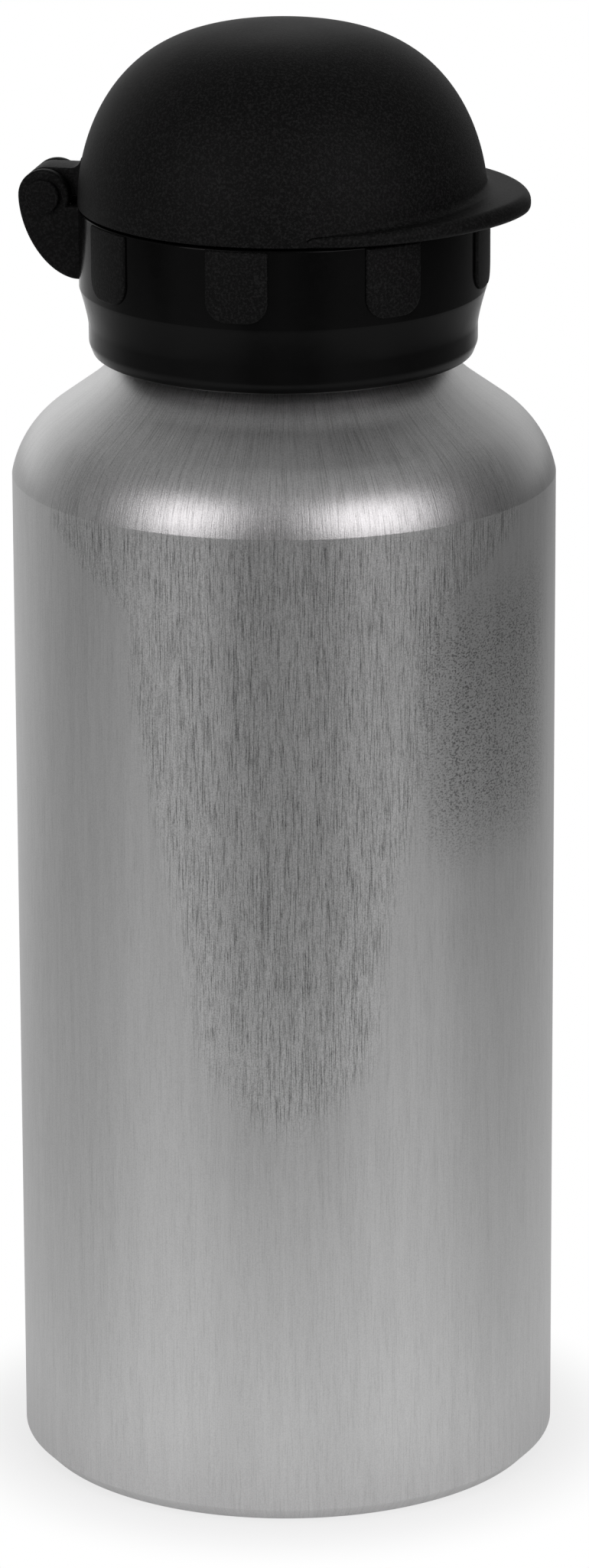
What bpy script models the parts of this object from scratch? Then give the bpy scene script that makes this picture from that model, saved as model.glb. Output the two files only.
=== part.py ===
"""Aluminium drinking bottle with a screw cap, a pull-up spout and a hinged dome lid.

Metres, +Z up. The origin is the centre of the circle that the bottle rests on.
The lid's peak points along +X, and the hinge lies at -X with its axis along Y.
"""

import math

import bmesh
import bpy
from mathutils import Matrix, Vector

# Fits
GAP = 0.0003                 # between faces that touch on the real bottle
RUNNING_GAP = 0.0003         # round a shaft or a slider
ROUND_STEPS = 48             # facets round the large turned pieces
SMALL_STEPS = 28             # facets round the spout's pieces
TINY_STEPS = 16              # facets round pins and the vent valve
SHARP_EDGE = math.radians(40)  # edges that turn more than this are rounded
MERGE_DISTANCE = 0.000001    # points nearer than this are one point

# Bottle
BODY_RADIUS = 0.0330
BODY_HEIGHT = 0.1230         # where the straight wall ends and the shoulder starts
SHOULDER_BEND = 0.0108       # radius of the bend from the wall into the shoulder
SHOULDER_SLOPE = math.radians(35.8)  # of the shoulder's cone, from level
SWEEP_RADIUS = 0.0226        # where the cone would meet its steeper end at the neck
SWEEP_SLOPE = math.radians(48)  # of that end
SWEEP_BEND = 0.0177          # radius of the hollow bend between the two
BODY_WALL = 0.0009
BASE_WALL = 0.0014
BASE_BEVEL = 0.0018
REST_RING_WIDTH = 0.0028
PUNT_DEPTH = 0.0030
PUNT_RIM_DEPTH = 0.0015      # depth of the punt at its rim, inside the resting ring
NECK_RADIUS = 0.0199         # of the waist between the shoulder and the thread
NECK_HEIGHT = 0.013265       # from the end of the shoulder to the lip
NECK_STEP = 0.0010           # the threaded part of the neck is this much wider
NECK_STEP_HEIGHT = 0.0016
LIP_BEAD = 0.0004            # how far the rolled lip stands out of the neck
LIP_HEIGHT = 0.0012

# Thread
THREAD_PITCH = 0.0040
THREAD_TURNS = 1.25          # of the bottle's ridge
COLLAR_THREAD_TURNS = 1.0
THREAD_BEAD = 0.0009         # radius of the thread's round ridge
THREAD_HEIGHT = 0.0015       # how far the bottle's ridge stands out of the neck
THREAD_OVERLAP = 0.0007      # how far the two ridges reach past each other
THREAD_BELOW_LIP = 0.0025    # from the lip down to the top of the bottle's ridge
THREAD_STEPS = 24            # points in one turn
THREAD_RUN_OUT = 0.08        # share of a turn in which a ridge grows to full height
THREAD_START = 0.3           # share of its full size that a ridge starts with

# Screw collar
COLLAR_CLEARANCE = 0.0004    # between the neck's thread and the collar's wall
COLLAR_WALL = 0.0018
COLLAR_FOOT_WALL = 0.0008
COLLAR_ABOVE_SHOULDER = 0.0006
COLLAR_BAND_HEIGHT = 0.0096  # the upper straight band, from the rim down
COLLAR_TAPER_HEIGHT = 0.0047
COLLAR_TAPER_POWER = 1.3     # 1 is a straight cone, more is hollow
COLLAR_BORE_STEP = 0.0014    # from the band's foot down to the narrower bore of the foot
COLLAR_FOOT_ROUND = 0.0013
COLLAR_RIM_ROUND = 0.00025
DECK_THICKNESS = 0.0015
RIM_WALL = 0.0017
RIM_HEIGHT = 0.0017          # from the deck up to the rim
GASKET_THICKNESS = 0.0012
PLUG_RING_WALL = 0.0013
PLUG_RING_DEPTH = 0.0033
PLUG_RING_CLEARANCE = 0.0011

# Grip pads on the collar
PAD_COUNT = 8                # places round the collar; the hinge takes one of them
PAD_WIDTH = 0.0076
PAD_HEIGHT = 0.0087
PAD_STAND_OUT = 0.0004
PAD_CORNER = 0.0020
PAD_EDGE = 0.00025
PAD_SINK = 0.0006            # how far a pad reaches into the collar's wall

# Dome lid
DOME_OVERHANG = 0.0001
DOME_HEIGHT = 0.0215
DOME_SIDE_POWER = 2.92       # the two powers of the dome's superellipse
DOME_TOP_POWER = 1.95
DOME_WALL = 0.0016
DOME_FOOT_WALL = 0.0030
DOME_FOOT_HEIGHT = 0.0025
SPIGOT_DEPTH = 0.0015        # the dome's inner ring that drops into the collar
SPIGOT_WALL = 0.0008
SPIGOT_CLEARANCE = 0.0004
PEAK_REACH = 0.0055
PEAK_SPREAD = math.radians(71)
PEAK_POWER = 1.7
PEAK_TIP_THICKNESS = 0.0022
PEAK_END_THICKNESS = 0.0012
PEAK_EDGE = 0.0005

# Hinge
HINGE_OUT = 0.0041           # from the collar's wall out to the pin's axis
HINGE_UP = 0.0006            # from the collar's rim up to the pin's axis
EAR_RADIUS = 0.0032
EAR_THICKNESS = 0.0014
EAR_LEDGE = 0.0005           # from the collar's rim down to the fin's top edge
EAR_DROP = 0.0101            # from the pin's axis down to the fin's lower end
EAR_POWER = 1.8
EAR_EDGE = 0.00035
EAR_SINK = 0.0013            # how far the ears reach into the collar's wall
ARM_WIDTH = 0.0046
PIN_RADIUS = 0.0012
PIN_HEAD_RADIUS = 0.0021
PIN_HEAD_HEIGHT = 0.0004

# Spout
STEM_RADIUS = 0.0062
STEM_BORE_RADIUS = 0.0041
STEM_SLEEVE_RADIUS = 0.0082
STEM_SLEEVE_WALL = 0.0012
STEM_SNAP = 0.0007
STEM_SNAP_HEIGHT = 0.0010
FLANGE_WIDTH = 0.0012
FLANGE_THICKNESS = 0.0011
STEM_GASKET_THICKNESS = 0.0007
STEM_HEAD = 0.0007           # how far the stem's head stands out of the stem
STEM_HEAD_HEIGHT = 0.0028
PIN_CORE_RADIUS = 0.0017
PIN_CORE_RISE = 0.0009       # how far the core pin reaches into the spout's hole
SPOKE_COUNT = 3
SPOKE_THICKNESS = 0.0011
SPOKE_HEIGHT = 0.0020
SPOKE_TURN = math.radians(30)  # from +X to the first spoke
O_RING_SECTION = 0.0006      # radius of the ring's round section
SPOUT_TRAVEL = 0.0045
SPOUT_WALL = 0.0009
SPOUT_INNER_LIP = 0.0011
SPOUT_CEILING = 0.0012
SPOUT_HEADROOM = 0.0005
SPOUT_FLANGE_WIDTH = 0.0025
SPOUT_FLANGE_HEIGHT = 0.0015
SPOUT_TOP_ROUND = 0.0022
RIDGE_STAND_OUT = 0.0006
RIDGE_HEIGHT = 0.0010
RIDGE_RISE = 0.0030          # from the flange up to the ridge
MOUTHPIECE_WALL = 0.0010
MOUTHPIECE_HOLE_MARGIN = 0.0005

# Vent valve
VENT_STEM_RADIUS = 0.0009
VENT_BULB_RADIUS = 0.0015
VENT_BULB_HEIGHT = 0.0012
VENT_HEAD_THICKNESS = 0.0010
AIR_HOLE_RADIUS = 0.0005
AIR_HOLE_COUNT = 3

# Heights and radii that follow from the values above
thread_root = NECK_RADIUS + NECK_STEP
thread_crest = thread_root + THREAD_HEIGHT
neck_bore = thread_root - BODY_WALL
waist_bore = NECK_RADIUS - BODY_WALL
bend_middle = (BODY_RADIUS - SHOULDER_BEND, BODY_HEIGHT)
cone_foot = bend_middle[0] + SHOULDER_BEND * math.sin(SHOULDER_SLOPE)
cone_rise = (cone_foot - SWEEP_RADIUS) * math.tan(SHOULDER_SLOPE)
sweep_height = BODY_HEIGHT + SHOULDER_BEND * math.cos(SHOULDER_SLOPE) + cone_rise
shoulder_end = sweep_height + (SWEEP_RADIUS - NECK_RADIUS) * math.tan(SWEEP_SLOPE)
lip_top = shoulder_end + NECK_HEIGHT

collar_bore = thread_crest + COLLAR_CLEARANCE
collar_radius = collar_bore + COLLAR_WALL
collar_foot_bore = thread_crest + GAP
collar_foot_radius = collar_foot_bore + COLLAR_FOOT_WALL
collar_foot = shoulder_end + COLLAR_ABOVE_SHOULDER
gasket_bottom = lip_top + GAP
gasket_top = gasket_bottom + GASKET_THICKNESS
deck_bottom = gasket_top + GAP
deck_top = deck_bottom + DECK_THICKNESS
rim_top = deck_top + RIM_HEIGHT
rim_bore = collar_radius - RIM_WALL
plug_ring_radius = neck_bore - PLUG_RING_CLEARANCE
plug_ring_bore = plug_ring_radius - PLUG_RING_WALL

dome_foot = rim_top + GAP
dome_radius = collar_radius + DOME_OVERHANG
spigot_radius = rim_bore - SPIGOT_CLEARANCE
hinge_x = -(collar_radius + HINGE_OUT)
hinge_z = rim_top + HINGE_UP
ear_inner_face = ARM_WIDTH / 2 + RUNNING_GAP
ear_outer_face = ear_inner_face + EAR_THICKNESS

sleeve_bore = STEM_SLEEVE_RADIUS - STEM_SLEEVE_WALL
snap_radius = STEM_SLEEVE_RADIUS + STEM_SNAP
snap_top = deck_bottom - GAP
stem_gasket_bottom = deck_top + GAP
flange_bottom = stem_gasket_bottom + STEM_GASKET_THICKNESS + GAP
flange_top = flange_bottom + FLANGE_THICKNESS
flange_radius = STEM_SLEEVE_RADIUS + FLANGE_WIDTH
head_radius = STEM_RADIUS + STEM_HEAD
spout_foot = flange_top + GAP
spout_lip_top = spout_foot + SPOUT_INNER_LIP
head_bottom = spout_lip_top + SPOUT_TRAVEL + GAP
head_top = head_bottom + STEM_HEAD_HEIGHT
groove_half = O_RING_SECTION + GAP
groove_middle = (head_bottom + head_top) / 2
groove_floor = head_radius - 2 * O_RING_SECTION - GAP
spout_bore = head_radius + RUNNING_GAP
spout_radius = spout_bore + SPOUT_WALL
spout_hole = PIN_CORE_RADIUS + RUNNING_GAP
ceiling_bottom = head_top + SPOUT_HEADROOM
spout_top = ceiling_bottom + SPOUT_CEILING
spout_flange_top = spout_foot + SPOUT_FLANGE_HEIGHT
ridge_bottom = spout_flange_top + RIDGE_RISE
ridge_radius = spout_radius + RIDGE_STAND_OUT

vent_inner_limit = snap_radius + GAP
vent_outer_limit = plug_ring_bore - GAP
vent_x = (vent_inner_limit + vent_outer_limit) / 2
vent_head_radius = (vent_outer_limit - vent_inner_limit) / 2 - GAP
vent_hole_radius = VENT_STEM_RADIUS + RUNNING_GAP

for old in list(bpy.data.objects):
    bpy.data.objects.remove(old, do_unlink=True)

bottle_parts = bpy.data.collections.new("aluminium_water_bottle")
cutters = bpy.data.collections.new("cutters")
bpy.context.scene.collection.children.link(bottle_parts)
bpy.context.scene.collection.children.link(cutters)


def new_material(name, colour, roughness, metallic=0.0):
    """A Principled material."""
    material = bpy.data.materials.new(name)
    material.use_nodes = True
    shader = material.node_tree.nodes["Principled BSDF"]
    shader.inputs["Base Color"].default_value = (*colour, 1.0)
    shader.inputs["Roughness"].default_value = roughness
    shader.inputs["Metallic"].default_value = metallic
    material.diffuse_color = (*colour, 1.0)
    return material


def put_in(collection, obj):
    """Move an object into one collection only."""
    for holder in list(obj.users_collection):
        holder.objects.unlink(obj)
    collection.objects.link(obj)


def as_cutter(obj):
    """Mark an object as a shape that other pieces are cut or joined with."""
    put_in(cutters, obj)
    obj.hide_render = True
    obj.display_type = "WIRE"
    return obj


def as_piece(obj, material):
    """Mark an object as a piece of the bottle."""
    put_in(bottle_parts, obj)
    obj.data.materials.clear()
    obj.data.materials.append(material)
    return obj


def combine(target, tool, operation):
    """Add a Boolean modifier, and parent the tool to the piece that it shapes."""
    tool.parent = target
    modifier = target.modifiers.new(operation.title(), "BOOLEAN")
    modifier.operation = operation
    modifier.solver = "EXACT"
    modifier.object = tool


def turned(name, profile, steps, closed):
    """A turned solid from a profile of (radius, height) points.

    The profile runs down the outer side. A closed one is a ring, and an open
    one starts and ends on the axis.
    """
    mesh = bpy.data.meshes.new(name)
    count = len(profile)
    edges = [(i, i + 1) for i in range(count - 1)]
    if closed:
        edges.append((count - 1, 0))
    mesh.from_pydata([(radius, 0.0, height) for radius, height in profile], edges, [])
    obj = bpy.data.objects.new(name, mesh)
    bottle_parts.objects.link(obj)
    screw = obj.modifiers.new("Screw", "SCREW")
    screw.axis = "Z"
    screw.steps = steps
    screw.render_steps = steps
    screw.use_merge_vertices = True
    screw.merge_threshold = MERGE_DISTANCE
    screw.use_smooth_shade = True
    return obj


def arc(centre, radius, start, end, count):
    """Points (a, b) on an arc, from the start angle to the end angle."""
    angles = [start + (end - start) * i / count for i in range(count + 1)]
    return [(centre[0] + radius * math.cos(a), centre[1] + radius * math.sin(a)) for a in angles]


def superellipse(half_width, half_height, power_across, power_up, angle):
    """A point in the first quarter of a superellipse."""
    across = half_width * max(math.cos(angle), 0.0) ** (2 / power_across)
    up = half_height * max(math.sin(angle), 0.0) ** (2 / power_up)
    return across, up


def mesh_from_curve(obj):
    """Replace a curve object by a mesh object with welded caps."""
    bpy.context.view_layer.update()
    evaluated = obj.evaluated_get(bpy.context.evaluated_depsgraph_get())
    mesh = bpy.data.meshes.new_from_object(evaluated)
    shape = bmesh.new()
    shape.from_mesh(mesh)
    bmesh.ops.remove_doubles(shape, verts=shape.verts, dist=MERGE_DISTANCE)
    bmesh.ops.recalc_face_normals(shape, faces=shape.faces)
    shape.to_mesh(mesh)
    shape.free()
    name, placement = obj.name, obj.matrix_world.copy()
    bpy.data.objects.remove(obj, do_unlink=True)
    solid = bpy.data.objects.new(name, mesh)
    solid.matrix_world = placement
    bottle_parts.objects.link(solid)
    return solid


def plate(name, outline, thickness, placement):
    """A flat outline made solid, half its thickness to each side of its plane."""
    curve = bpy.data.curves.new(name + "_outline", "CURVE")
    curve.dimensions = "2D"
    curve.fill_mode = "BOTH"
    curve.extrude = thickness / 2
    spline = curve.splines.new("POLY")
    spline.points.add(len(outline) - 1)
    for point, (across, up) in zip(spline.points, outline):
        point.co = (across, up, 0.0, 1.0)
    spline.use_cyclic_u = True
    obj = bpy.data.objects.new(name, curve)
    obj.matrix_world = placement
    bottle_parts.objects.link(obj)
    return mesh_from_curve(obj)


def cylinder(name, radius, depth, centre, steps, along="Z"):
    """A round bar."""
    turn = {"Z": (0.0, 0.0, 0.0), "Y": (math.pi / 2, 0.0, 0.0)}[along]
    bpy.ops.mesh.primitive_cylinder_add(
        vertices=steps, radius=radius, depth=depth, location=centre, rotation=turn)
    obj = bpy.context.object
    obj.name = name
    put_in(bottle_parts, obj)
    return obj


def box(name, low, high):
    """A box between two corners."""
    bpy.ops.mesh.primitive_cube_add(size=1.0)
    obj = bpy.context.object
    obj.name = name
    low, high = Vector(low), Vector(high)
    centre, span = (low + high) / 2, high - low
    obj.data.transform(Matrix.Translation(centre) @ Matrix.Diagonal((*span, 1.0)))
    put_in(bottle_parts, obj)
    return obj


def round_edges(obj, width, segments=2):
    """Round the sharp edges of a piece."""
    bevel = obj.modifiers.new("Bevel", "BEVEL")
    bevel.width = width
    bevel.segments = segments
    bevel.limit_method = "ANGLE"
    bevel.angle_limit = SHARP_EDGE


def thread_ridge(name, wall, height, low, turns):
    """A round ridge along a right-handed helix on a wall, with tapered ends.

    A positive height stands out of the wall, a negative one stands inwards.
    """
    curve = bpy.data.curves.new(name, "CURVE")
    curve.dimensions = "3D"
    curve.bevel_depth = THREAD_BEAD
    curve.bevel_resolution = 2
    curve.use_fill_caps = True
    count = round(turns * THREAD_STEPS)
    spline = curve.splines.new("POLY")
    spline.points.add(count)
    sunk = math.copysign(abs(height) - THREAD_BEAD, height)
    for index, point in enumerate(spline.points):
        turned_by = turns * index / count
        to_end = min(turned_by, turns - turned_by) / THREAD_RUN_OUT
        grown = THREAD_START + (1 - THREAD_START) * min(to_end, 1.0)
        radius = wall + sunk * grown
        angle = 2 * math.pi * turned_by
        height_here = low + THREAD_PITCH * turned_by
        point.co = (radius * math.cos(angle), radius * math.sin(angle), height_here, 1.0)
        point.radius = grown
    obj = bpy.data.objects.new(name, curve)
    bottle_parts.objects.link(obj)
    return as_cutter(mesh_from_curve(obj))


def make_bottle(material):
    """The one-piece aluminium body with its neck, rolled lip and thread."""
    inner_radius = BODY_RADIUS - BODY_WALL
    bend_turn = math.pi / 2 - SHOULDER_SLOPE
    bend_steps, sweep_steps = 6, 3
    inner_bend = arc(bend_middle, SHOULDER_BEND - BODY_WALL, 0.0, bend_turn, bend_steps)
    sweep_cut = SWEEP_BEND * math.tan((SWEEP_SLOPE - SHOULDER_SLOPE) / 2)
    slope_cos, slope_sin = math.cos(SHOULDER_SLOPE), math.sin(SHOULDER_SLOPE)
    sweep_middle = (SWEEP_RADIUS + sweep_cut * slope_cos + SWEEP_BEND * slope_sin,
                    sweep_height - sweep_cut * slope_sin + SWEEP_BEND * slope_cos)
    sweep_low, sweep_high = 1.5 * math.pi - SHOULDER_SLOPE, 1.5 * math.pi - SWEEP_SLOPE
    inner_sweep = arc(sweep_middle, SWEEP_BEND + BODY_WALL, sweep_low, sweep_high, sweep_steps)
    inner_end = inner_sweep[-1][1] + (inner_sweep[-1][0] - waist_bore) * math.tan(SWEEP_SLOPE)
    step_low = shoulder_end + NECK_STEP_HEIGHT
    ring_out = BODY_RADIUS - BASE_BEVEL
    ring_in = ring_out - REST_RING_WIDTH

    profile = [(0.0, PUNT_DEPTH + BASE_WALL)]
    profile.append((ring_in - BASE_WALL, PUNT_RIM_DEPTH + BASE_WALL))
    profile.append((ring_in, BASE_WALL))
    profile.append((ring_out - BASE_WALL, BASE_WALL))
    profile.append((inner_radius, BASE_BEVEL + BASE_WALL))
    profile += inner_bend + inner_sweep
    profile.append((waist_bore, inner_end))
    profile.append((waist_bore, step_low))
    profile.append((neck_bore, step_low + NECK_STEP))
    profile.append((neck_bore, lip_top - LIP_BEAD))
    profile.append((neck_bore + LIP_BEAD, lip_top))
    profile.append((thread_root, lip_top))
    profile.append((thread_root + LIP_BEAD, lip_top - LIP_BEAD))
    profile.append((thread_root + LIP_BEAD, lip_top - LIP_HEIGHT + LIP_BEAD))
    profile.append((thread_root, lip_top - LIP_HEIGHT))
    profile.append((thread_root, step_low + NECK_STEP))
    profile.append((NECK_RADIUS, step_low))
    profile.append((NECK_RADIUS, shoulder_end))
    profile += arc(sweep_middle, SWEEP_BEND, sweep_high, sweep_low, sweep_steps)
    profile += arc(bend_middle, SHOULDER_BEND, bend_turn, 0.0, bend_steps)
    profile.append((BODY_RADIUS, BASE_BEVEL))
    profile.append((ring_out, 0.0))
    profile.append((ring_in, 0.0))
    profile.append((ring_in - BASE_WALL, PUNT_RIM_DEPTH))
    profile.append((0.0, PUNT_DEPTH))

    bottle = turned("bottle_shell", profile, ROUND_STEPS, closed=False)
    ridge = thread_ridge("bottle_thread", thread_root, THREAD_HEIGHT, bottle_thread_low(), THREAD_TURNS)
    combine(bottle, ridge, "UNION")
    return as_piece(bottle, material)


def bottle_thread_low():
    """Height of the lower end of the bottle's ridge, at its middle."""
    return lip_top - THREAD_BELOW_LIP - THREAD_PITCH * THREAD_TURNS


def collar_thread_low():
    """Height of the lower end of the collar's ridge, just under the bottle's one."""
    apart = 2 * THREAD_BEAD + GAP
    bottle_middle = thread_root + THREAD_HEIGHT - THREAD_BEAD
    collar_middle = thread_crest - THREAD_OVERLAP + THREAD_BEAD
    drop = math.sqrt(apart ** 2 - (collar_middle - bottle_middle) ** 2)
    return bottle_thread_low() - drop + THREAD_PITCH


def make_gasket(material):
    """The flat ring between the bottle's lip and the collar's deck."""
    inner = plug_ring_radius + GAP
    outer = collar_bore - GAP
    profile = [(inner, gasket_top), (outer, gasket_top), (outer, gasket_bottom), (inner, gasket_bottom)]
    return as_piece(turned("neck_gasket", profile, ROUND_STEPS, closed=True), material)


def grip_pad(index):
    """One raised pad, bent round the collar's wall."""
    half = PAD_WIDTH / 2
    top = PAD_HEIGHT
    outline = [(-half, top), (-half, PAD_CORNER)]
    outline += arc((-half + PAD_CORNER, PAD_CORNER), PAD_CORNER, math.pi, 1.5 * math.pi, 3)[1:]
    outline += arc((half - PAD_CORNER, PAD_CORNER), PAD_CORNER, 1.5 * math.pi, 2 * math.pi, 3)
    outline.append((half, top))
    thickness = PAD_SINK + PAD_STAND_OUT
    pad = plate("grip_pad_%d" % index, outline, thickness, Matrix.Identity(4))
    shape = bmesh.new()
    shape.from_mesh(pad.data)
    outer_edges = [edge for edge in shape.edges
                   if all(vert.co.z > 0 for vert in edge.verts) and edge.calc_face_angle(0) > SHARP_EDGE]
    bmesh.ops.bevel(shape, geom=outer_edges, offset=PAD_EDGE, segments=1, profile=0.5, affect="EDGES")
    for cut in (-PAD_WIDTH / 4, 0.0, PAD_WIDTH / 4):
        everything = list(shape.verts) + list(shape.edges) + list(shape.faces)
        bmesh.ops.bisect_plane(shape, geom=everything, plane_co=(cut, 0, 0), plane_no=(1, 0, 0))
    middle = 2 * math.pi * index / PAD_COUNT
    lowest = rim_top - GAP / 2 - PAD_HEIGHT
    for vert in shape.verts:
        radius = collar_radius + PAD_STAND_OUT - thickness / 2 + vert.co.z
        angle = middle + vert.co.x / collar_radius
        vert.co = (radius * math.cos(angle), radius * math.sin(angle), lowest + vert.co.y)
    shape.to_mesh(pad.data)
    shape.free()
    return as_cutter(pad)


def hinge_ear(side):
    """One ear of the hinge: a disc round the pin over a fin that runs into the collar."""
    root_x = -(collar_radius - EAR_SINK)
    disc_start = math.asin(-(HINGE_UP + EAR_LEDGE) / EAR_RADIUS)
    outline = [(root_x, rim_top - EAR_LEDGE)]
    outline += arc((hinge_x, hinge_z), EAR_RADIUS, disc_start, math.pi, 11)
    fin_width = HINGE_OUT + EAR_RADIUS
    for i in range(1, 8):
        across, down = superellipse(fin_width, EAR_DROP, EAR_POWER, EAR_POWER, math.pi / 2 * i / 7)
        outline.append((-collar_radius - across, hinge_z - down))
    outline.append((root_x, hinge_z - EAR_DROP))
    upright = Matrix.Rotation(math.pi / 2, 4, "X")
    middle = side * (ear_inner_face + ear_outer_face) / 2
    placement = Matrix.Translation((0.0, middle, 0.0)) @ upright
    ear = plate("hinge_ear", outline, EAR_THICKNESS, placement)
    round_edges(ear, EAR_EDGE, segments=1)
    return as_cutter(ear)


def make_collar(material):
    """The screw collar: skirt with inner thread, deck, plug ring, grip pads and hinge ears."""
    band_foot = rim_top - COLLAR_BAND_HEIGHT
    step_in = collar_radius - collar_foot_radius
    profile = [(rim_bore, rim_top), (collar_radius - COLLAR_RIM_ROUND, rim_top)]
    profile.append((collar_radius, rim_top - COLLAR_RIM_ROUND))
    taper_steps = 5
    for i in range(taper_steps + 1):
        share = i / taper_steps
        radius = collar_foot_radius + step_in * (1 - share) ** COLLAR_TAPER_POWER
        profile.append((radius, band_foot - COLLAR_TAPER_HEIGHT * share))
    round_middle = (collar_foot_radius - COLLAR_FOOT_ROUND, collar_foot + COLLAR_FOOT_ROUND)
    foot = arc(round_middle, COLLAR_FOOT_ROUND, 0.0, -math.pi / 2, 4)
    profile += [(max(radius, collar_foot_bore + GAP), height) for radius, height in foot[:-1]]
    profile.append((collar_foot_bore, collar_foot))
    bore_step = band_foot - COLLAR_BORE_STEP
    profile.append((collar_foot_bore, bore_step - GAP))
    profile.append((collar_bore, bore_step))
    profile.append((collar_bore, deck_bottom))
    profile.append((plug_ring_radius, deck_bottom))
    profile.append((plug_ring_radius, deck_bottom - PLUG_RING_DEPTH))
    profile.append((plug_ring_bore, deck_bottom - PLUG_RING_DEPTH))
    profile.append((plug_ring_bore, deck_bottom))
    stem_hole = STEM_SLEEVE_RADIUS + GAP
    profile.append((stem_hole, deck_bottom))
    profile.append((stem_hole, deck_top))
    profile.append((rim_bore, deck_top))

    collar = turned("screw_collar", profile, ROUND_STEPS, closed=True)
    inward = -(collar_bore - thread_crest + THREAD_OVERLAP)
    ridge = thread_ridge("collar_thread", collar_bore, inward, collar_thread_low(), COLLAR_THREAD_TURNS)
    combine(collar, ridge, "UNION")
    deck_middle = (deck_bottom + deck_top) / 2
    vent_hole = cylinder("vent_hole", vent_hole_radius, 2 * DECK_THICKNESS,
                         (vent_x, 0.0, deck_middle), TINY_STEPS)
    combine(collar, as_cutter(vent_hole), "DIFFERENCE")
    for index in range(AIR_HOLE_COUNT):
        angle = 2 * math.pi * (index + 0.5) / AIR_HOLE_COUNT
        away = VENT_BULB_RADIUS + AIR_HOLE_RADIUS + GAP
        place = (vent_x + away * math.cos(angle), away * math.sin(angle), deck_middle)
        air_hole = cylinder("air_hole", AIR_HOLE_RADIUS, 2 * DECK_THICKNESS, place, TINY_STEPS // 2)
        combine(collar, as_cutter(air_hole), "DIFFERENCE")

    for index in range(PAD_COUNT):
        if index != PAD_COUNT // 2:
            combine(collar, grip_pad(index), "UNION")
    for side in (-1, 1):
        combine(collar, hinge_ear(side), "UNION")

    pin_hole = cylinder("pin_hole", PIN_RADIUS + RUNNING_GAP, 3 * ear_outer_face,
                        (hinge_x, 0.0, hinge_z), TINY_STEPS, along="Y")
    combine(collar, as_cutter(pin_hole), "DIFFERENCE")
    return as_piece(collar, material)


def make_vent_valve(material):
    """An umbrella valve: a thin head under the deck, a stem and a bulb above it."""
    head_top_z = deck_bottom - GAP
    bulb_low = deck_top + GAP
    bulb_high = bulb_low + VENT_BULB_HEIGHT
    profile = [
        (0.0, bulb_high),
        (VENT_STEM_RADIUS, bulb_high),
        (VENT_BULB_RADIUS, bulb_low + VENT_BULB_HEIGHT / 3),
        (VENT_BULB_RADIUS, bulb_low),
        (VENT_STEM_RADIUS, bulb_low),
        (VENT_STEM_RADIUS, head_top_z),
        (vent_head_radius, head_top_z),
        (vent_head_radius, head_top_z - VENT_HEAD_THICKNESS / 3),
        (VENT_BULB_RADIUS, head_top_z - VENT_HEAD_THICKNESS),
        (0.0, head_top_z - VENT_HEAD_THICKNESS),
    ]
    valve = turned("vent_valve", profile, TINY_STEPS, closed=False)
    valve.location.x = vent_x
    return as_piece(valve, material)


def make_stem(material):
    """The fixed spout stem: snap sleeve, flange, tube with a seal groove, core pin on spokes."""
    sleeve_foot = snap_top - STEM_SNAP_HEIGHT
    profile = [
        (STEM_BORE_RADIUS, head_top),
        (head_radius - GAP, head_top),
        (head_radius, head_top - GAP),
        (head_radius, groove_middle + groove_half),
        (groove_floor, groove_middle + groove_half),
        (groove_floor, groove_middle - groove_half),
        (head_radius, groove_middle - groove_half),
        (head_radius, head_bottom),
        (STEM_RADIUS, head_bottom),
        (STEM_RADIUS, flange_top),
        (flange_radius, flange_top),
        (flange_radius, flange_bottom),
        (STEM_SLEEVE_RADIUS, flange_bottom),
        (STEM_SLEEVE_RADIUS, snap_top),
        (snap_radius, snap_top),
        (snap_radius, snap_top - STEM_SNAP_HEIGHT / 2),
        (STEM_SLEEVE_RADIUS, sleeve_foot),
        (sleeve_bore, sleeve_foot),
        (sleeve_bore, flange_bottom),
        (STEM_BORE_RADIUS, flange_bottom),
    ]
    stem = turned("spout_stem", profile, SMALL_STEPS, closed=True)
    core_top = ceiling_bottom + PIN_CORE_RISE
    core_bottom = flange_top - SPOKE_HEIGHT / 2
    spoke_top = core_bottom + SPOKE_HEIGHT
    core = cylinder("core_pin", PIN_CORE_RADIUS, core_top - core_bottom,
                    (0.0, 0.0, (core_top + core_bottom) / 2), TINY_STEPS)
    reach = (STEM_BORE_RADIUS + STEM_RADIUS) / 2
    for index in range(SPOKE_COUNT):
        spoke = box("core_spoke", (0.0, -SPOKE_THICKNESS / 2, core_bottom + GAP),
                    (reach, SPOKE_THICKNESS / 2, spoke_top))
        spoke.rotation_euler.z = SPOKE_TURN + 2 * math.pi * index / SPOKE_COUNT
        combine(stem, as_cutter(spoke), "UNION")
    combine(stem, as_cutter(core), "UNION")
    return as_piece(stem, material)


def make_stem_gasket(material):
    """The flat ring between the collar's deck and the stem's flange."""
    top = stem_gasket_bottom + STEM_GASKET_THICKNESS
    inner = STEM_SLEEVE_RADIUS + GAP
    profile = [(inner, top), (flange_radius, top), (flange_radius, stem_gasket_bottom),
               (inner, stem_gasket_bottom)]
    return as_piece(turned("stem_gasket", profile, SMALL_STEPS, closed=True), material)


def make_o_ring(material):
    """The round seal in the groove of the stem's head."""
    bpy.ops.mesh.primitive_torus_add(
        major_segments=SMALL_STEPS, minor_segments=8,
        major_radius=groove_floor + GAP + O_RING_SECTION, minor_radius=O_RING_SECTION,
        location=(0.0, 0.0, groove_middle))
    ring = bpy.context.object
    ring.name = "spout_o_ring"
    ring.data.shade_smooth()
    return as_piece(ring, material)


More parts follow.
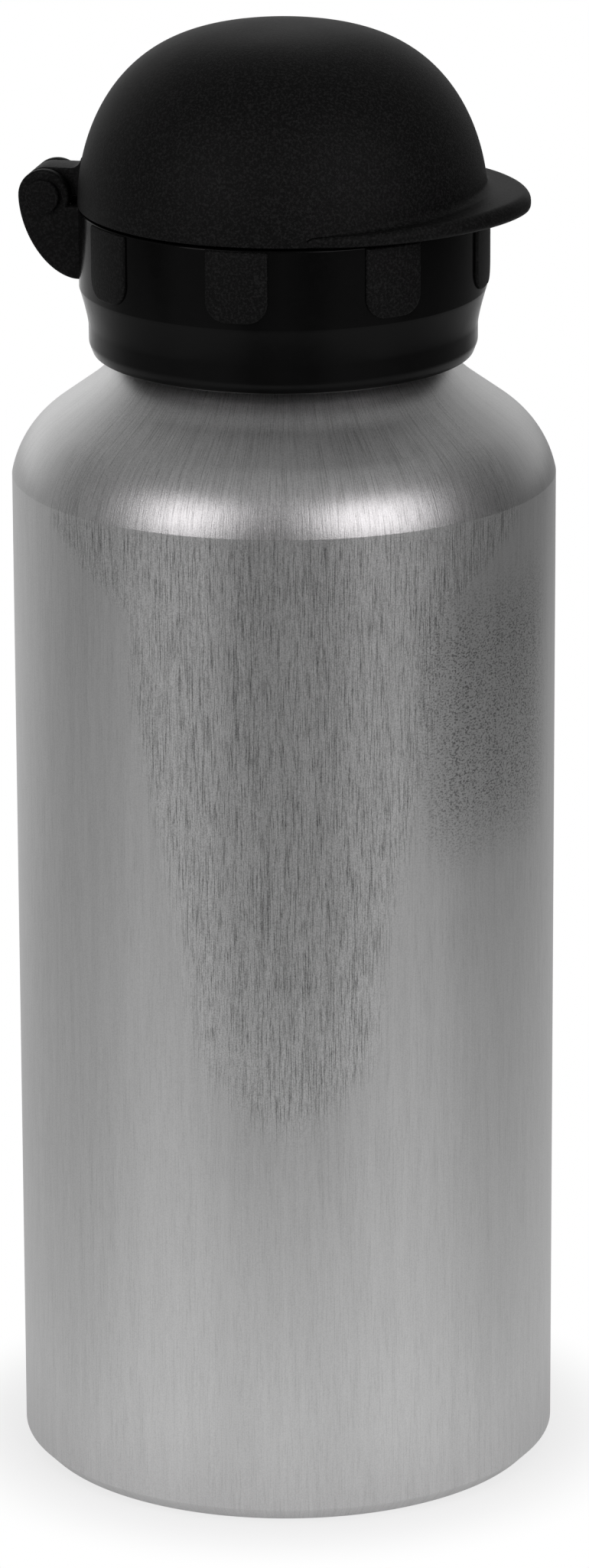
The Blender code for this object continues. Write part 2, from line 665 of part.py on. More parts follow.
def make_pull_spout(material):
    """The hard slider of the spout, held on the stem by its inner lip."""
    ridge_top = ridge_bottom + RIDGE_HEIGHT
    shoulder = spout_top - SPOUT_TOP_ROUND
    top_round = arc((spout_radius - SPOUT_TOP_ROUND, shoulder), SPOUT_TOP_ROUND, math.pi / 2, 0.0, 4)
    profile = [(spout_hole, spout_top)] + top_round + [
        (spout_radius, ridge_top),
        (ridge_radius, ridge_top - GAP),
        (ridge_radius, ridge_bottom),
        (spout_radius, ridge_bottom),
        (spout_radius, spout_flange_top),
        (spout_radius + SPOUT_FLANGE_WIDTH, spout_flange_top),
        (spout_radius + SPOUT_FLANGE_WIDTH, spout_foot),
        (STEM_RADIUS + RUNNING_GAP, spout_foot),
        (STEM_RADIUS + RUNNING_GAP, spout_lip_top),
        (spout_bore, spout_lip_top),
        (spout_bore, ceiling_bottom),
        (spout_hole, ceiling_bottom),
    ]
    return as_piece(turned("pull_spout", profile, SMALL_STEPS, closed=True), material)


def make_mouthpiece(material):
    """The soft sleeve over the slider, locked by the slider's ridge."""
    foot = spout_flange_top + GAP
    inner = spout_radius + GAP
    recess = ridge_radius + GAP
    outer = recess + MOUTHPIECE_WALL
    hole = spout_hole + MOUTHPIECE_HOLE_MARGIN
    centre = (spout_radius - SPOUT_TOP_ROUND, spout_top - SPOUT_TOP_ROUND)
    inner_round = arc(centre, SPOUT_TOP_ROUND + GAP, 0.0, math.pi / 2, 4)
    outer_round = arc(centre, SPOUT_TOP_ROUND + GAP + MOUTHPIECE_WALL, math.pi / 2, 0.0, 4)
    recess_top = ridge_bottom + RIDGE_HEIGHT + GAP
    profile = [(hole, outer_round[0][1])] + outer_round + [
        (outer, recess_top),
        (outer, foot + GAP),
        (outer - GAP, foot),
        (inner, foot),
        (inner, ridge_bottom - GAP),
        (recess, ridge_bottom - GAP),
        (recess, recess_top),
        (inner, recess_top),
    ] + inner_round + [(hole, inner_round[-1][1])]
    return as_piece(turned("mouthpiece", profile, SMALL_STEPS, closed=True), material)


def dome_profile(radius, height, base, count):
    """The dome's outline from its top on the axis down to its foot."""
    points = []
    for i in range(count + 1):
        across, up = superellipse(radius, height, DOME_SIDE_POWER, DOME_TOP_POWER,
                                  math.pi / 2 * (1 - i / count))
        points.append((across, base + up))
    points[0] = (0.0, base + height)
    return points


def dome_peak():
    """The peak over the drinker's thumb: a crescent that thickens towards its tip."""
    centre = dome_radius * math.cos(PEAK_SPREAD)
    half_width = dome_radius * math.sin(PEAK_SPREAD)
    reach = dome_radius + PEAK_REACH - centre
    outline = []
    count = 15
    for i in range(-count, count + 1):
        angle = math.pi / 2 * abs(i) / count
        across, side = superellipse(reach, half_width, PEAK_POWER, PEAK_POWER, angle)
        outline.append((centre + across, math.copysign(side, i)))
    level = Matrix.Translation((0.0, 0.0, dome_foot + PEAK_TIP_THICKNESS / 2))
    peak = plate("dome_peak", outline, PEAK_TIP_THICKNESS, level)
    for vert in peak.data.vertices:
        if vert.co.z > 0:
            share = (vert.co.x - centre) / reach
            vert.co.z -= (PEAK_TIP_THICKNESS - PEAK_END_THICKNESS) * (1 - share)
    round_edges(peak, PEAK_EDGE)
    return as_cutter(peak)


def make_dome(material):
    """The dome lid: shell, spigot ring, peak, and the arm and barrel of the hinge."""
    outer = dome_profile(dome_radius, DOME_HEIGHT, dome_foot, 13)
    spigot_foot = dome_foot - SPIGOT_DEPTH
    outer += [(spigot_radius, dome_foot), (spigot_radius, spigot_foot), (0.0, spigot_foot)]
    dome = turned("dome_lid", outer, ROUND_STEPS, closed=False)
    combine(dome, dome_peak(), "UNION")

    arm = box("dome_arm", (hinge_x, -ARM_WIDTH / 2, dome_foot),
              (-(dome_radius - DOME_FOOT_WALL / 2), ARM_WIDTH / 2, hinge_z + EAR_RADIUS))
    combine(dome, as_cutter(arm), "UNION")
    barrel = cylinder("dome_barrel", EAR_RADIUS, ARM_WIDTH, (hinge_x, 0.0, hinge_z), SMALL_STEPS, along="Y")
    combine(dome, as_cutter(barrel), "UNION")

    cavity_radius = dome_radius - DOME_WALL
    spigot_bore = spigot_radius - SPIGOT_WALL
    foot_top = dome_foot + DOME_FOOT_HEIGHT
    inside = dome_profile(cavity_radius, DOME_HEIGHT - DOME_WALL, dome_foot, 10)
    inside = [(radius, height) for radius, height in inside if height > foot_top + DOME_WALL]
    inside.append((spigot_bore, foot_top))
    inside.append((spigot_bore, spigot_foot - DOME_WALL))
    inside.append((0.0, spigot_foot - DOME_WALL))
    cavity = as_cutter(turned("dome_cavity", inside, ROUND_STEPS, closed=False))
    combine(dome, cavity, "DIFFERENCE")
    bore = cylinder("barrel_bore", PIN_RADIUS + RUNNING_GAP, 2 * ARM_WIDTH,
                    (hinge_x, 0.0, hinge_z), TINY_STEPS, along="Y")
    combine(dome, as_cutter(bore), "DIFFERENCE")
    return as_piece(dome, material)


def make_pin(material):
    """The hinge pin with a low head at each end."""
    face = ear_outer_face + GAP
    end = face + PIN_HEAD_HEIGHT
    profile = [(0.0, end), (PIN_HEAD_RADIUS, end), (PIN_HEAD_RADIUS, face), (PIN_RADIUS, face),
               (PIN_RADIUS, -face), (PIN_HEAD_RADIUS, -face), (PIN_HEAD_RADIUS, -end), (0.0, -end)]
    pin = turned("hinge_pin", profile, TINY_STEPS, closed=False)
    pin.location = (hinge_x, 0.0, hinge_z)
    pin.rotation_euler.x = math.pi / 2
    return as_piece(pin, material)


def joint_empty(name, place, parent=None):
    """An empty on a joint's axis, which carries the pieces that move with it."""
    empty = bpy.data.objects.new(name, None)
    empty.empty_display_size = COLLAR_WALL
    bottle_parts.objects.link(empty)
    empty.matrix_world = Matrix.Translation(place)
    if parent:
        hang_on(parent, empty)
    return empty


def hang_on(parent, *children):
    """Parent objects to an empty without moving them."""
    bpy.context.view_layer.update()
    for child in children:
        child.parent = parent
        child.matrix_parent_inverse = parent.matrix_world.inverted()


aluminium = new_material("satin_aluminium", (0.60, 0.60, 0.61), 0.38, 1.0)
gloss_black = new_material("gloss_black_plastic", (0.012, 0.012, 0.013), 0.22)
matte_black = new_material("matte_black_plastic", (0.020, 0.020, 0.021), 0.60)
clear_grey = new_material("grey_plastic", (0.30, 0.31, 0.32), 0.40)
silicone = new_material("silicone", (0.55, 0.56, 0.57), 0.55)
black_rubber = new_material("black_rubber", (0.015, 0.015, 0.015), 0.70)

make_bottle(aluminium)
gasket = make_gasket(silicone)
collar = make_collar(gloss_black)
vent_valve = make_vent_valve(silicone)
stem = make_stem(clear_grey)
stem_gasket = make_stem_gasket(black_rubber)
o_ring = make_o_ring(black_rubber)
slider = make_pull_spout(clear_grey)
mouthpiece = make_mouthpiece(silicone)
dome = make_dome(matte_black)
pin = make_pin(gloss_black)

cap_screw = joint_empty("cap_screw", (0.0, 0.0, lip_top))
spout_slide = joint_empty("spout_slide", (0.0, 0.0, spout_foot), cap_screw)
lid_hinge = joint_empty("lid_hinge", (hinge_x, 0.0, hinge_z), cap_screw)
hang_on(cap_screw, gasket, collar, vent_valve, stem, stem_gasket, o_ring, pin)
hang_on(spout_slide, slider, mouthpiece)
hang_on(lid_hinge, dome)
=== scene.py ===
"""Looks of the aluminium drinking bottle: fine shapes, finishes, studio and camera.

Metres, +Z up. The lid's peak points along +X and its hinge lies at -X.
"""

from math import asin, atan2, ceil, copysign, cos, hypot, pi, radians, sin, sqrt, tan, tau

import bmesh
import bpy
from mathutils import Matrix, Vector


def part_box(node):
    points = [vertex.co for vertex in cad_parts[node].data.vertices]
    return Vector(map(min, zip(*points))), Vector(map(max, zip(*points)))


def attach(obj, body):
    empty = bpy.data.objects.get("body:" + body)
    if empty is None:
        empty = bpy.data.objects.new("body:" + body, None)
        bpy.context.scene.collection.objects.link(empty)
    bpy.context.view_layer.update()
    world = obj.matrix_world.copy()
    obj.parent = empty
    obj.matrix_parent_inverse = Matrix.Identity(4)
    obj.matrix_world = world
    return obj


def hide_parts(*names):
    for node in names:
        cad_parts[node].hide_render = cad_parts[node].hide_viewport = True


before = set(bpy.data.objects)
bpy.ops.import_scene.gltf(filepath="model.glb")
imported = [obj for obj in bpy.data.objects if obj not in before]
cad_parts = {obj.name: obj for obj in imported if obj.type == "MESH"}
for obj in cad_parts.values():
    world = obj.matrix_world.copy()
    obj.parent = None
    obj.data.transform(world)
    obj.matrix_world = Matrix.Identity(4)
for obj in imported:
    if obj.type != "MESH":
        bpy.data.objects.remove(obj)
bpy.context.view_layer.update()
scene = bpy.context.scene

# Fineness
AROUND = 240            # steps round the large turned pieces
AROUND_SMALL = 120      # steps round the spout's pieces
AROUND_TINY = 48        # steps round pins and holes
ARC_STEP = radians(14)  # largest turn of one facet in a rounded corner
ARC_FACET = 0.0005      # largest facet in a rounded corner
SHARP = radians(38)     # edges that turn more than this stay sharp
MERGE = 0.0000004       # points closer than this become one
BEND_REACH = 0.98       # share of a straight stretch that its ends' roundings may take
BEVEL_STEPS = 4         # rows in the rounded edge of a flat shape
CURVE_STEPS = 36        # steps along a curved outline
ARM_STEPS = 40          # steps round the barrel of the lid's arm
ARM_FILLET_STEPS = 10   # steps of the fillet between the arm and the dome
THREAD_STEPS = 20       # steps round the thread's section
TAPER_STEPS = 10        # steps down the collar's taper
PAD_STEPS = 12          # stretches of a pad, which bend round the collar
O_RING_STEPS = 24       # steps round the section of the round seal
PEAK_HALVINGS = 40      # of the search for the peak's outline
PEAK_SEARCH = 1.1       # the search ends this far out, in shares of the peak's tip
MM = 1000.0             # finishes are drawn in millimetres

# Fits
GAP = 0.0003

# Bottle
BODY_HEIGHT = 0.1230
SHOULDER_BEND = 0.0108
SHOULDER_SLOPE = radians(35.8)
CREASE_RISE = 0.0015   # the wall runs this far up into the bend, to a fine crease
CREASE_TURN = radians(12)
CREASE_SHARE = 0.98    # of the largest bend that fits above the crease
SWEEP_RADIUS = 0.0226  # where the shoulder's cone would meet its steep end
SWEEP_BEND = 0.0177
SWEEP_SLOPE = radians(48)
BODY_WALL = 0.0009
BASE_WALL = 0.0014
BASE_BEVEL = 0.0018
REST_RING_WIDTH = 0.0028
PUNT_DEPTH = 0.0030
PUNT_RIM_DEPTH = 0.0015
PUNT_ROUND = 0.0030
RING_ROUND = 0.0006
BEVEL_ROUND = 0.0004
INNER_RING_ROUND = 0.0008
INNER_WALL_ROUND = 0.0012
WALL_RINGS = (0.8, 0.6, 0.4, 0.2)  # shares of the wall's height with a ring of points
NECK_RADIUS = 0.0199
NECK_STEP = 0.0010
NECK_STEP_HEIGHT = 0.0016
LIP_BEAD = 0.0004
LIP_HEIGHT = 0.0012

# Thread
THREAD_PITCH = 0.0040
THREAD_TURNS = 1.25
COLLAR_THREAD_TURNS = 1.0
THREAD_BEAD = 0.0009
THREAD_HEIGHT = 0.0015
THREAD_OVERLAP = 0.0007
THREAD_BELOW_LIP = 0.0025
THREAD_RUN_OUT = 0.08
THREAD_START = 0.3

# Screw collar
COLLAR_CLEARANCE = 0.0004
COLLAR_WALL = 0.0018
COLLAR_FOOT_WALL = 0.0008
COLLAR_BAND_HEIGHT = 0.0096
COLLAR_TAPER_HEIGHT = 0.0047
COLLAR_TAPER_POWER = 1.3
COLLAR_BORE_STEP = 0.0014
COLLAR_FOOT_HEIGHT = 0.0013
COLLAR_FOOT_ROUND = 0.0012
GRAINED_OUT = 0.00003  # what stands further out than this, the pads and ears, is grained
DECK_THICKNESS = 0.0015
RIM_WALL = 0.0017
RIM_HEIGHT = 0.0017
GASKET_THICKNESS = 0.0012
PLUG_RING_WALL = 0.0013
PLUG_RING_DEPTH = 0.0033
PLUG_RING_CLEARANCE = 0.0011

# Grip pads
PAD_COUNT = 8  # places round the collar; the hinge takes one of them
PAD_WIDTH = 0.0076
PAD_HEIGHT = 0.0087
PAD_STAND_OUT = 0.0004
PAD_CORNER = 0.0026
PAD_EDGE = 0.0003
PAD_SINK = 0.0006

# Dome lid
DOME_SIDE_POWER = 2.92
DOME_TOP_POWER = 1.95
DOME_WALL = 0.0016
DOME_FOOT_HEIGHT = 0.0025
DOME_FOOT_EDGE = 0.00015
DOME_EDGE_START = 0.03   # angle at which the foot's edge starts
DOME_EDGE_SHARE = 0.98   # share of a quarter turn that it covers
SPIGOT_DEPTH = 0.0015
SPIGOT_WALL = 0.0008
SPIGOT_CLEARANCE = 0.0004
PEAK_SPREAD = radians(71)
PEAK_POWER = 1.7
PEAK_TIP_THICKNESS = 0.0022
PEAK_END_THICKNESS = 0.0012
PEAK_FILLET = 0.0009
PEAK_FILLET_SHARE = 0.4  # of the peak's reach, where it is short
PEAK_TOP_EDGE = 0.50     # roundings of the peak's edge, in shares of its thickness
PEAK_LOW_EDGE = 0.35

# Hinge
HINGE_OUT = 0.0041
HINGE_UP = 0.0006
EAR_RADIUS = 0.0032
EAR_THICKNESS = 0.0014
EAR_LEDGE = 0.0005
EAR_DROP = 0.0101
EAR_POWER = 1.8
EAR_EDGE = 0.0004
EAR_SINK = 0.0013
ARM_WIDTH = 0.0046
ARM_SINK = 0.6  # share of the dome's wall that the arm runs into
ARM_FILLET = 0.0014
PIN_RADIUS = 0.0012
PIN_HEAD_RADIUS = 0.0021
PIN_HEAD_HEIGHT = 0.0004

# Spout
STEM_RADIUS = 0.0062
STEM_BORE_RADIUS = 0.0041
STEM_SLEEVE_RADIUS = 0.0082
STEM_SLEEVE_WALL = 0.0012
STEM_SNAP = 0.0007
STEM_SNAP_HEIGHT = 0.0010
FLANGE_WIDTH = 0.0012
FLANGE_THICKNESS = 0.0011
STEM_GASKET_THICKNESS = 0.0007
STEM_HEAD = 0.0007
STEM_HEAD_HEIGHT = 0.0028
PIN_CORE_RADIUS = 0.0017
PIN_CORE_RISE = 0.0009
SPOKE_COUNT = 3
SPOKE_THICKNESS = 0.0011
SPOKE_HEIGHT = 0.0020
SPOKE_TURN = radians(30)
O_RING_SECTION = 0.0006
SPOUT_TRAVEL = 0.0045
SPOUT_WALL = 0.0009
SPOUT_INNER_LIP = 0.0011
SPOUT_CEILING = 0.0012
SPOUT_HEADROOM = 0.0005
SPOUT_FLANGE_WIDTH = 0.0025
SPOUT_FLANGE_HEIGHT = 0.0015
SPOUT_TOP_ROUND = 0.0022
RIDGE_STAND_OUT = 0.0006
RIDGE_HEIGHT = 0.0010
RIDGE_RISE = 0.0030
MOUTHPIECE_WALL = 0.0010
MOUTHPIECE_HOLE_MARGIN = 0.0005
MOUTHPIECE_WAIST = 0.35  # height of the waist, as a share of the way from the recess to the top
MOUTHPIECE_WAIST_ROUND = 0.0060
MOUTHPIECE_HIP_ROUND = 0.0020

# Vent valve
VENT_STEM_RADIUS = 0.0009
VENT_BULB_RADIUS = 0.0015
VENT_BULB_HEIGHT = 0.0012
VENT_HEAD_THICKNESS = 0.0010
AIR_HOLE_RADIUS = 0.0005
AIR_HOLE_COUNT = 3

# Small roundings of moulded edges
FINE = 0.00012
SOFT = 0.00025

# Places that the frame gives
body_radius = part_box("bottle_shell")[1].x
lip_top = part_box("bottle_shell")[1].z
collar_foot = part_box("screw_collar")[0].z
dome_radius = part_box("dome_lid")[1].y
dome_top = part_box("dome_lid")[1].z
peak_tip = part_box("dome_lid")[1].x

# Places that follow from them and from the sizes
shoulder_corner = BODY_HEIGHT + SHOULDER_BEND * tan((pi / 2 - SHOULDER_SLOPE) / 2)
sweep_height = shoulder_corner + (body_radius - SWEEP_RADIUS) * tan(SHOULDER_SLOPE)
shoulder_end = sweep_height + (SWEEP_RADIUS - NECK_RADIUS) * tan(SWEEP_SLOPE)
crease_height = BODY_HEIGHT + CREASE_RISE
thread_root = NECK_RADIUS + NECK_STEP
thread_crest = thread_root + THREAD_HEIGHT
neck_bore = thread_root - BODY_WALL
bottle_thread_low = lip_top - THREAD_BELOW_LIP - THREAD_PITCH * THREAD_TURNS
collar_bore = thread_crest + COLLAR_CLEARANCE
collar_radius = collar_bore + COLLAR_WALL
collar_foot_bore = thread_crest + GAP
collar_foot_radius = collar_foot_bore + COLLAR_FOOT_WALL
gasket_bottom = lip_top + GAP
gasket_top = gasket_bottom + GASKET_THICKNESS
deck_bottom = gasket_top + GAP
deck_top = deck_bottom + DECK_THICKNESS
rim_top = deck_top + RIM_HEIGHT
rim_bore = collar_radius - RIM_WALL
plug_ring_radius = neck_bore - PLUG_RING_CLEARANCE
plug_ring_bore = plug_ring_radius - PLUG_RING_WALL
dome_foot = rim_top + GAP
spigot_foot = dome_foot - SPIGOT_DEPTH
dome_height = dome_top - dome_foot
spigot_radius = rim_bore - SPIGOT_CLEARANCE
hinge_x = -(collar_radius + HINGE_OUT)
hinge_z = rim_top + HINGE_UP
ear_inner_face = ARM_WIDTH / 2 + GAP
ear_outer_face = ear_inner_face + EAR_THICKNESS
sleeve_bore = STEM_SLEEVE_RADIUS - STEM_SLEEVE_WALL
snap_radius = STEM_SLEEVE_RADIUS + STEM_SNAP
snap_top = deck_bottom - GAP
stem_gasket_bottom = deck_top + GAP
stem_gasket_top = stem_gasket_bottom + STEM_GASKET_THICKNESS
flange_bottom = stem_gasket_top + GAP
flange_top = flange_bottom + FLANGE_THICKNESS
flange_radius = STEM_SLEEVE_RADIUS + FLANGE_WIDTH
head_radius = STEM_RADIUS + STEM_HEAD
spout_foot = flange_top + GAP
spout_lip_top = spout_foot + SPOUT_INNER_LIP
head_bottom = spout_lip_top + SPOUT_TRAVEL + GAP
head_top = head_bottom + STEM_HEAD_HEIGHT
groove_half = O_RING_SECTION + GAP
groove_middle = (head_bottom + head_top) / 2
groove_floor = head_radius - 2 * O_RING_SECTION - GAP
spout_bore = head_radius + GAP
spout_radius = spout_bore + SPOUT_WALL
spout_hole = PIN_CORE_RADIUS + GAP
ceiling_bottom = head_top + SPOUT_HEADROOM
spout_top = ceiling_bottom + SPOUT_CEILING
spout_flange_top = spout_foot + SPOUT_FLANGE_HEIGHT
ridge_bottom = spout_flange_top + RIDGE_RISE
ridge_radius = spout_radius + RIDGE_STAND_OUT
vent_inner_limit = snap_radius + GAP
vent_outer_limit = plug_ring_bore - GAP
vent_x = (vent_inner_limit + vent_outer_limit) / 2
vent_head_radius = (vent_outer_limit - vent_inner_limit) / 2 - GAP


class Wire:
    """The value at a node's socket. Python's operators on it add Math nodes."""

    def __init__(self, shading, socket):
        self.shading = shading
        self.socket = socket

    def maths(self, operation, *values):
        """A Math node's result."""
        return self.shading.node("Math", {"operation": operation}, dict(enumerate(values)))

    def __add__(self, other):
        return self.maths("ADD", self, other)

    __radd__ = __add__

    def __sub__(self, other):
        return self.maths("SUBTRACT", self, other)

    def __rsub__(self, other):
        return self.maths("SUBTRACT", other, self)

    def __mul__(self, other):
        return self.maths("MULTIPLY", self, other)

    __rmul__ = __mul__

    def __truediv__(self, other):
        return self.maths("DIVIDE", self, other)

    def __rtruediv__(self, other):
        return self.maths("DIVIDE", other, self)

    def ramp(self, low, high, start=0.0, end=1.0):
        """One number below low, another above high, with a smooth change between them."""
        return self.shading.node("MapRange", {"interpolation_type": "SMOOTHSTEP"},
                                 {"Value": self, "From Min": low, "From Max": high,
                                  "To Min": start, "To Max": end})


class Shading:
    """A node tree that is being built."""

    def __init__(self, tree):
        self.tree = tree

    def feed(self, node, values):
        """Link or set a node's inputs, each named by its key or its number."""
        for key, value in values.items():
            if isinstance(value, Wire):
                self.tree.links.new(value.socket, node.inputs[key])
            else:
                node.inputs[key].default_value = value

    def node(self, kind, settings=None, values=None, output=0):
        """Add a node, set it up, feed it, and hand over one of its outputs."""
        made = self.tree.nodes.new("ShaderNode" + kind)
        for name, value in (settings or {}).items():
            setattr(made, name, value)
        self.feed(made, values or {})
        return Wire(self, made.outputs[output])

    def blend(self, factor, first, second):
        """A colour between two colours."""
        return self.node("Mix", {"data_type": "RGBA"}, {0: factor, 6: first, 7: second}, output=2)

    def noise(self, place, scale, detail=2.0, roughness=0.6):
        """Noise from 0 to 1 at a place, its features about 1 / scale wide."""
        return self.node("TexNoise", None, {"Vector": place, "Scale": scale, "Detail": detail,
                                            "Roughness": roughness})

    def place(self):
        """Where a point lies on the piece, in millimetres."""
        raw = self.node("TexCoord", output="Object")
        return self.node("VectorMath", {"operation": "SCALE"}, {0: raw, "Scale": MM})

    def split(self, vector):
        """The three numbers of a vector."""
        parts = self.tree.nodes.new("ShaderNodeSeparateXYZ")
        self.feed(parts, {0: vector})
        return [Wire(self, output) for output in parts.outputs]

    def join(self, x, y, z):
        """A vector of three numbers."""
        return self.node("CombineXYZ", None, {0: x, 1: y, 2: z})

    def rays(self):
        """1 for rays that come straight or through glass, and 1 for mirrored ones."""
        seen = (self.node("LightPath", output="Is Camera Ray")
                + self.node("LightPath", output="Is Transmission Ray"))
        return seen, self.node("LightPath", output="Is Glossy Ray") * (1.0 - seen)


class Finish(Shading):
    """A material: its Principled shader, and the nodes that feed it."""

    def __init__(self, name, fixed):
        self.material = bpy.data.materials.new(name)
        self.material.use_nodes = True
        super().__init__(self.material.node_tree)
        self.shader = self.tree.nodes["Principled BSDF"]
        self.feed(self.shader, fixed)

    def covered(self, colour, roughness, height, depth):
        """The material with its colour, its roughness, and relief of a depth in metres."""
        relief = self.node("Bump", None, {"Height": height, "Distance": depth, "Strength": 1.0})
        self.feed(self.shader, {"Base Color": colour, "Roughness": roughness, "Normal": relief})
        return self.material


def grey(level, warm=0.0):
    """An opaque neutral colour, or one a little warmer."""
    return (level * (1 + warm), level, level * (1 - warm), 1.0)


def rounded(corners, closed=True):
    """A profile of (radius, height, rounding) corners, with an arc at each rounded one."""
    places = [Vector(corner[:2]) for corner in corners]
    count = len(corners)
    turns, wants = [], []
    for index, here in enumerate(places):
        plain = corners[index][2] == 0 or (not closed and index in (0, count - 1))
        before, after = places[index - 1] - here, places[(index + 1) % count] - here
        turns.append(0.0 if plain else pi - before.angle(after))
        wants.append(corners[index][2] * tan(turns[-1] / 2))
    points = []
    for index, (here, turn, want) in enumerate(zip(places, turns, wants)):
        if want == 0:
            points.append(here)
            continue
        following = (index + 1) % count
        before, after = places[index - 1] - here, places[following] - here
        cut = min(want, BEND_REACH * before.length * want / (want + wants[index - 1]),
                  BEND_REACH * after.length * want / (want + wants[following]))
        radius = cut / tan(turn / 2)
        before.normalize()
        after.normalize()
        centre = here + (before + after).normalized() * radius / cos(turn / 2)
        start = here + before * cut - centre
        end = here + after * cut - centre
        steps = max(2, ceil(turn / ARC_STEP), ceil(turn * radius / ARC_FACET))
        for step in range(steps + 1):
            share = step / steps
            swung = start * sin((1 - share) * turn) + end * sin(share * turn)
            points.append(centre + swung / sin(turn))
    return points


def arc(across, up, radius, start, end, steps):
    """Points on a circle round a centre, from one angle to another."""
    angles = [start + (end - start) * step / steps for step in range(steps + 1)]
    return [Vector((across + radius * cos(angle), up + radius * sin(angle))) for angle in angles]


def superellipse(half_width, half_height, power_across, power_up, angle):
    """A point in the first quarter of a superellipse."""
    across = half_width * max(cos(angle), 0.0) ** (2 / power_across)
    up = half_height * max(sin(angle), 0.0) ** (2 / power_up)
    return across, up


def placed(name, shape):
    """An object in the scene from a bmesh, shaded smooth with its sharp edges kept."""
    mesh = bpy.data.meshes.new(name)
    shape.to_mesh(mesh)
    shape.free()
    mesh.shade_smooth()
    mesh.set_sharp_from_angle(angle=SHARP)
    piece = bpy.data.objects.new(name, mesh)
    scene.collection.objects.link(piece)
    return piece


def spin_profile(profile, closed, steps):
    """A bmesh turned from a profile, with each vertex's place in the profile in the layer row."""
    shape = bmesh.new()
    rows = shape.verts.layers.int.new("row")
    line = []
    for index, (radius, height) in enumerate(profile):
        vert = shape.verts.new((radius, 0.0, height))
        vert[rows] = index
        line.append(vert)
    edges = [shape.edges.new(pair) for pair in zip(line, line[1:])]
    if closed:
        edges.append(shape.edges.new((line[-1], line[0])))
    bmesh.ops.spin(shape, geom=line + edges, cent=(0, 0, 0), axis=(0, 0, 1),
                   angle=tau, steps=steps, use_merge=True)
    bmesh.ops.remove_doubles(shape, verts=shape.verts, dist=MERGE)
    bmesh.ops.recalc_face_normals(shape, faces=shape.faces)
    return shape, rows


def turned(name, corners, closed=True, steps=AROUND):
    """A turned piece. Closed corners make a ring, and open ones start and end on the axis."""
    return placed(name, spin_profile(rounded(corners, closed), closed, steps)[0])


def tip_over(shape, verts):
    """Turn points a quarter round X, so that the ones above come to lie towards -Y."""
    bmesh.ops.rotate(shape, verts=verts, cent=(0, 0, 0), matrix=Matrix.Rotation(pi / 2, 3, "X"))


def stood(name, shape, centre, along="Z"):
    """An object from a bmesh made round Z, which ends up along Z or Y at a place."""
    if along == "Y":
        tip_over(shape, shape.verts)
    bmesh.ops.translate(shape, verts=shape.verts, vec=centre)
    return placed(name, shape)


def bevel(shape, edges, width, steps=BEVEL_STEPS):
    """Round edges over a width."""
    bmesh.ops.bevel(shape, geom=edges, offset=width, segments=steps, profile=0.5, affect="EDGES",
                    material=-1)


def flat_ring(name, inner, outer, low, high, steps=AROUND):
    """A seal's flat ring, softer outside."""
    corners = [(inner, high, FINE), (outer, high, SOFT), (outer, low, SOFT), (inner, low, FINE)]
    return turned(name, corners, steps=steps)


def slab(outline, low, high):
    """A bmesh of a flat outline made solid between two levels."""
    shape = bmesh.new()
    face = shape.faces.new([shape.verts.new((across, up, low)) for across, up in outline])
    grown = bmesh.ops.extrude_face_region(shape, geom=[face])
    moved = [item for item in grown["geom"] if isinstance(item, bmesh.types.BMVert)]
    bmesh.ops.translate(shape, verts=moved, vec=(0, 0, high - low))
    bmesh.ops.recalc_face_normals(shape, faces=shape.faces)
    return shape


def plate(name, outline, low, high, edge):
    """An outline in X and Z made solid between two levels along Y, with its edges rounded."""
    shape = slab(outline, low, high)
    bevel(shape, [item for item in shape.edges if item.calc_face_angle(0) > SHARP], edge)
    tip_over(shape, shape.verts)
    bmesh.ops.scale(shape, verts=shape.verts, vec=(1, -1, 1))
    bmesh.ops.recalc_face_normals(shape, faces=shape.faces)
    return placed(name, shape)


def bar(name, radius, low, high, centre, along="Z"):
    """A round bar or hole between two levels."""
    shape = bmesh.new()
    bmesh.ops.create_cone(shape, cap_ends=True, segments=AROUND_TINY, radius1=radius,
                          radius2=radius, depth=high - low)
    bmesh.ops.translate(shape, verts=shape.verts, vec=(0, 0, (high + low) / 2))
    return stood(name, shape, centre, along)


def gather(name, tools):
    """Several separate shapes as one object."""
    shape = bmesh.new()
    for tool in tools:
        shape.from_mesh(tool.data)
        bpy.data.objects.remove(tool)
    return placed(name, shape)


def carve(piece, tool, operation):
    """Join a shape to a piece, or cut it out of it, and drop the shape."""
    modifier = piece.modifiers.new(operation.title(), "BOOLEAN")
    modifier.operation = operation
    modifier.object = tool
    bpy.context.view_layer.update()
    evaluated = piece.evaluated_get(bpy.context.evaluated_depsgraph_get())
    whole = bpy.data.meshes.new_from_object(evaluated)
    piece.modifiers.clear()
    piece.data = whole
    bpy.data.objects.remove(tool)
    whole.shade_smooth()
    whole.set_sharp_from_angle(angle=SHARP)
    return piece


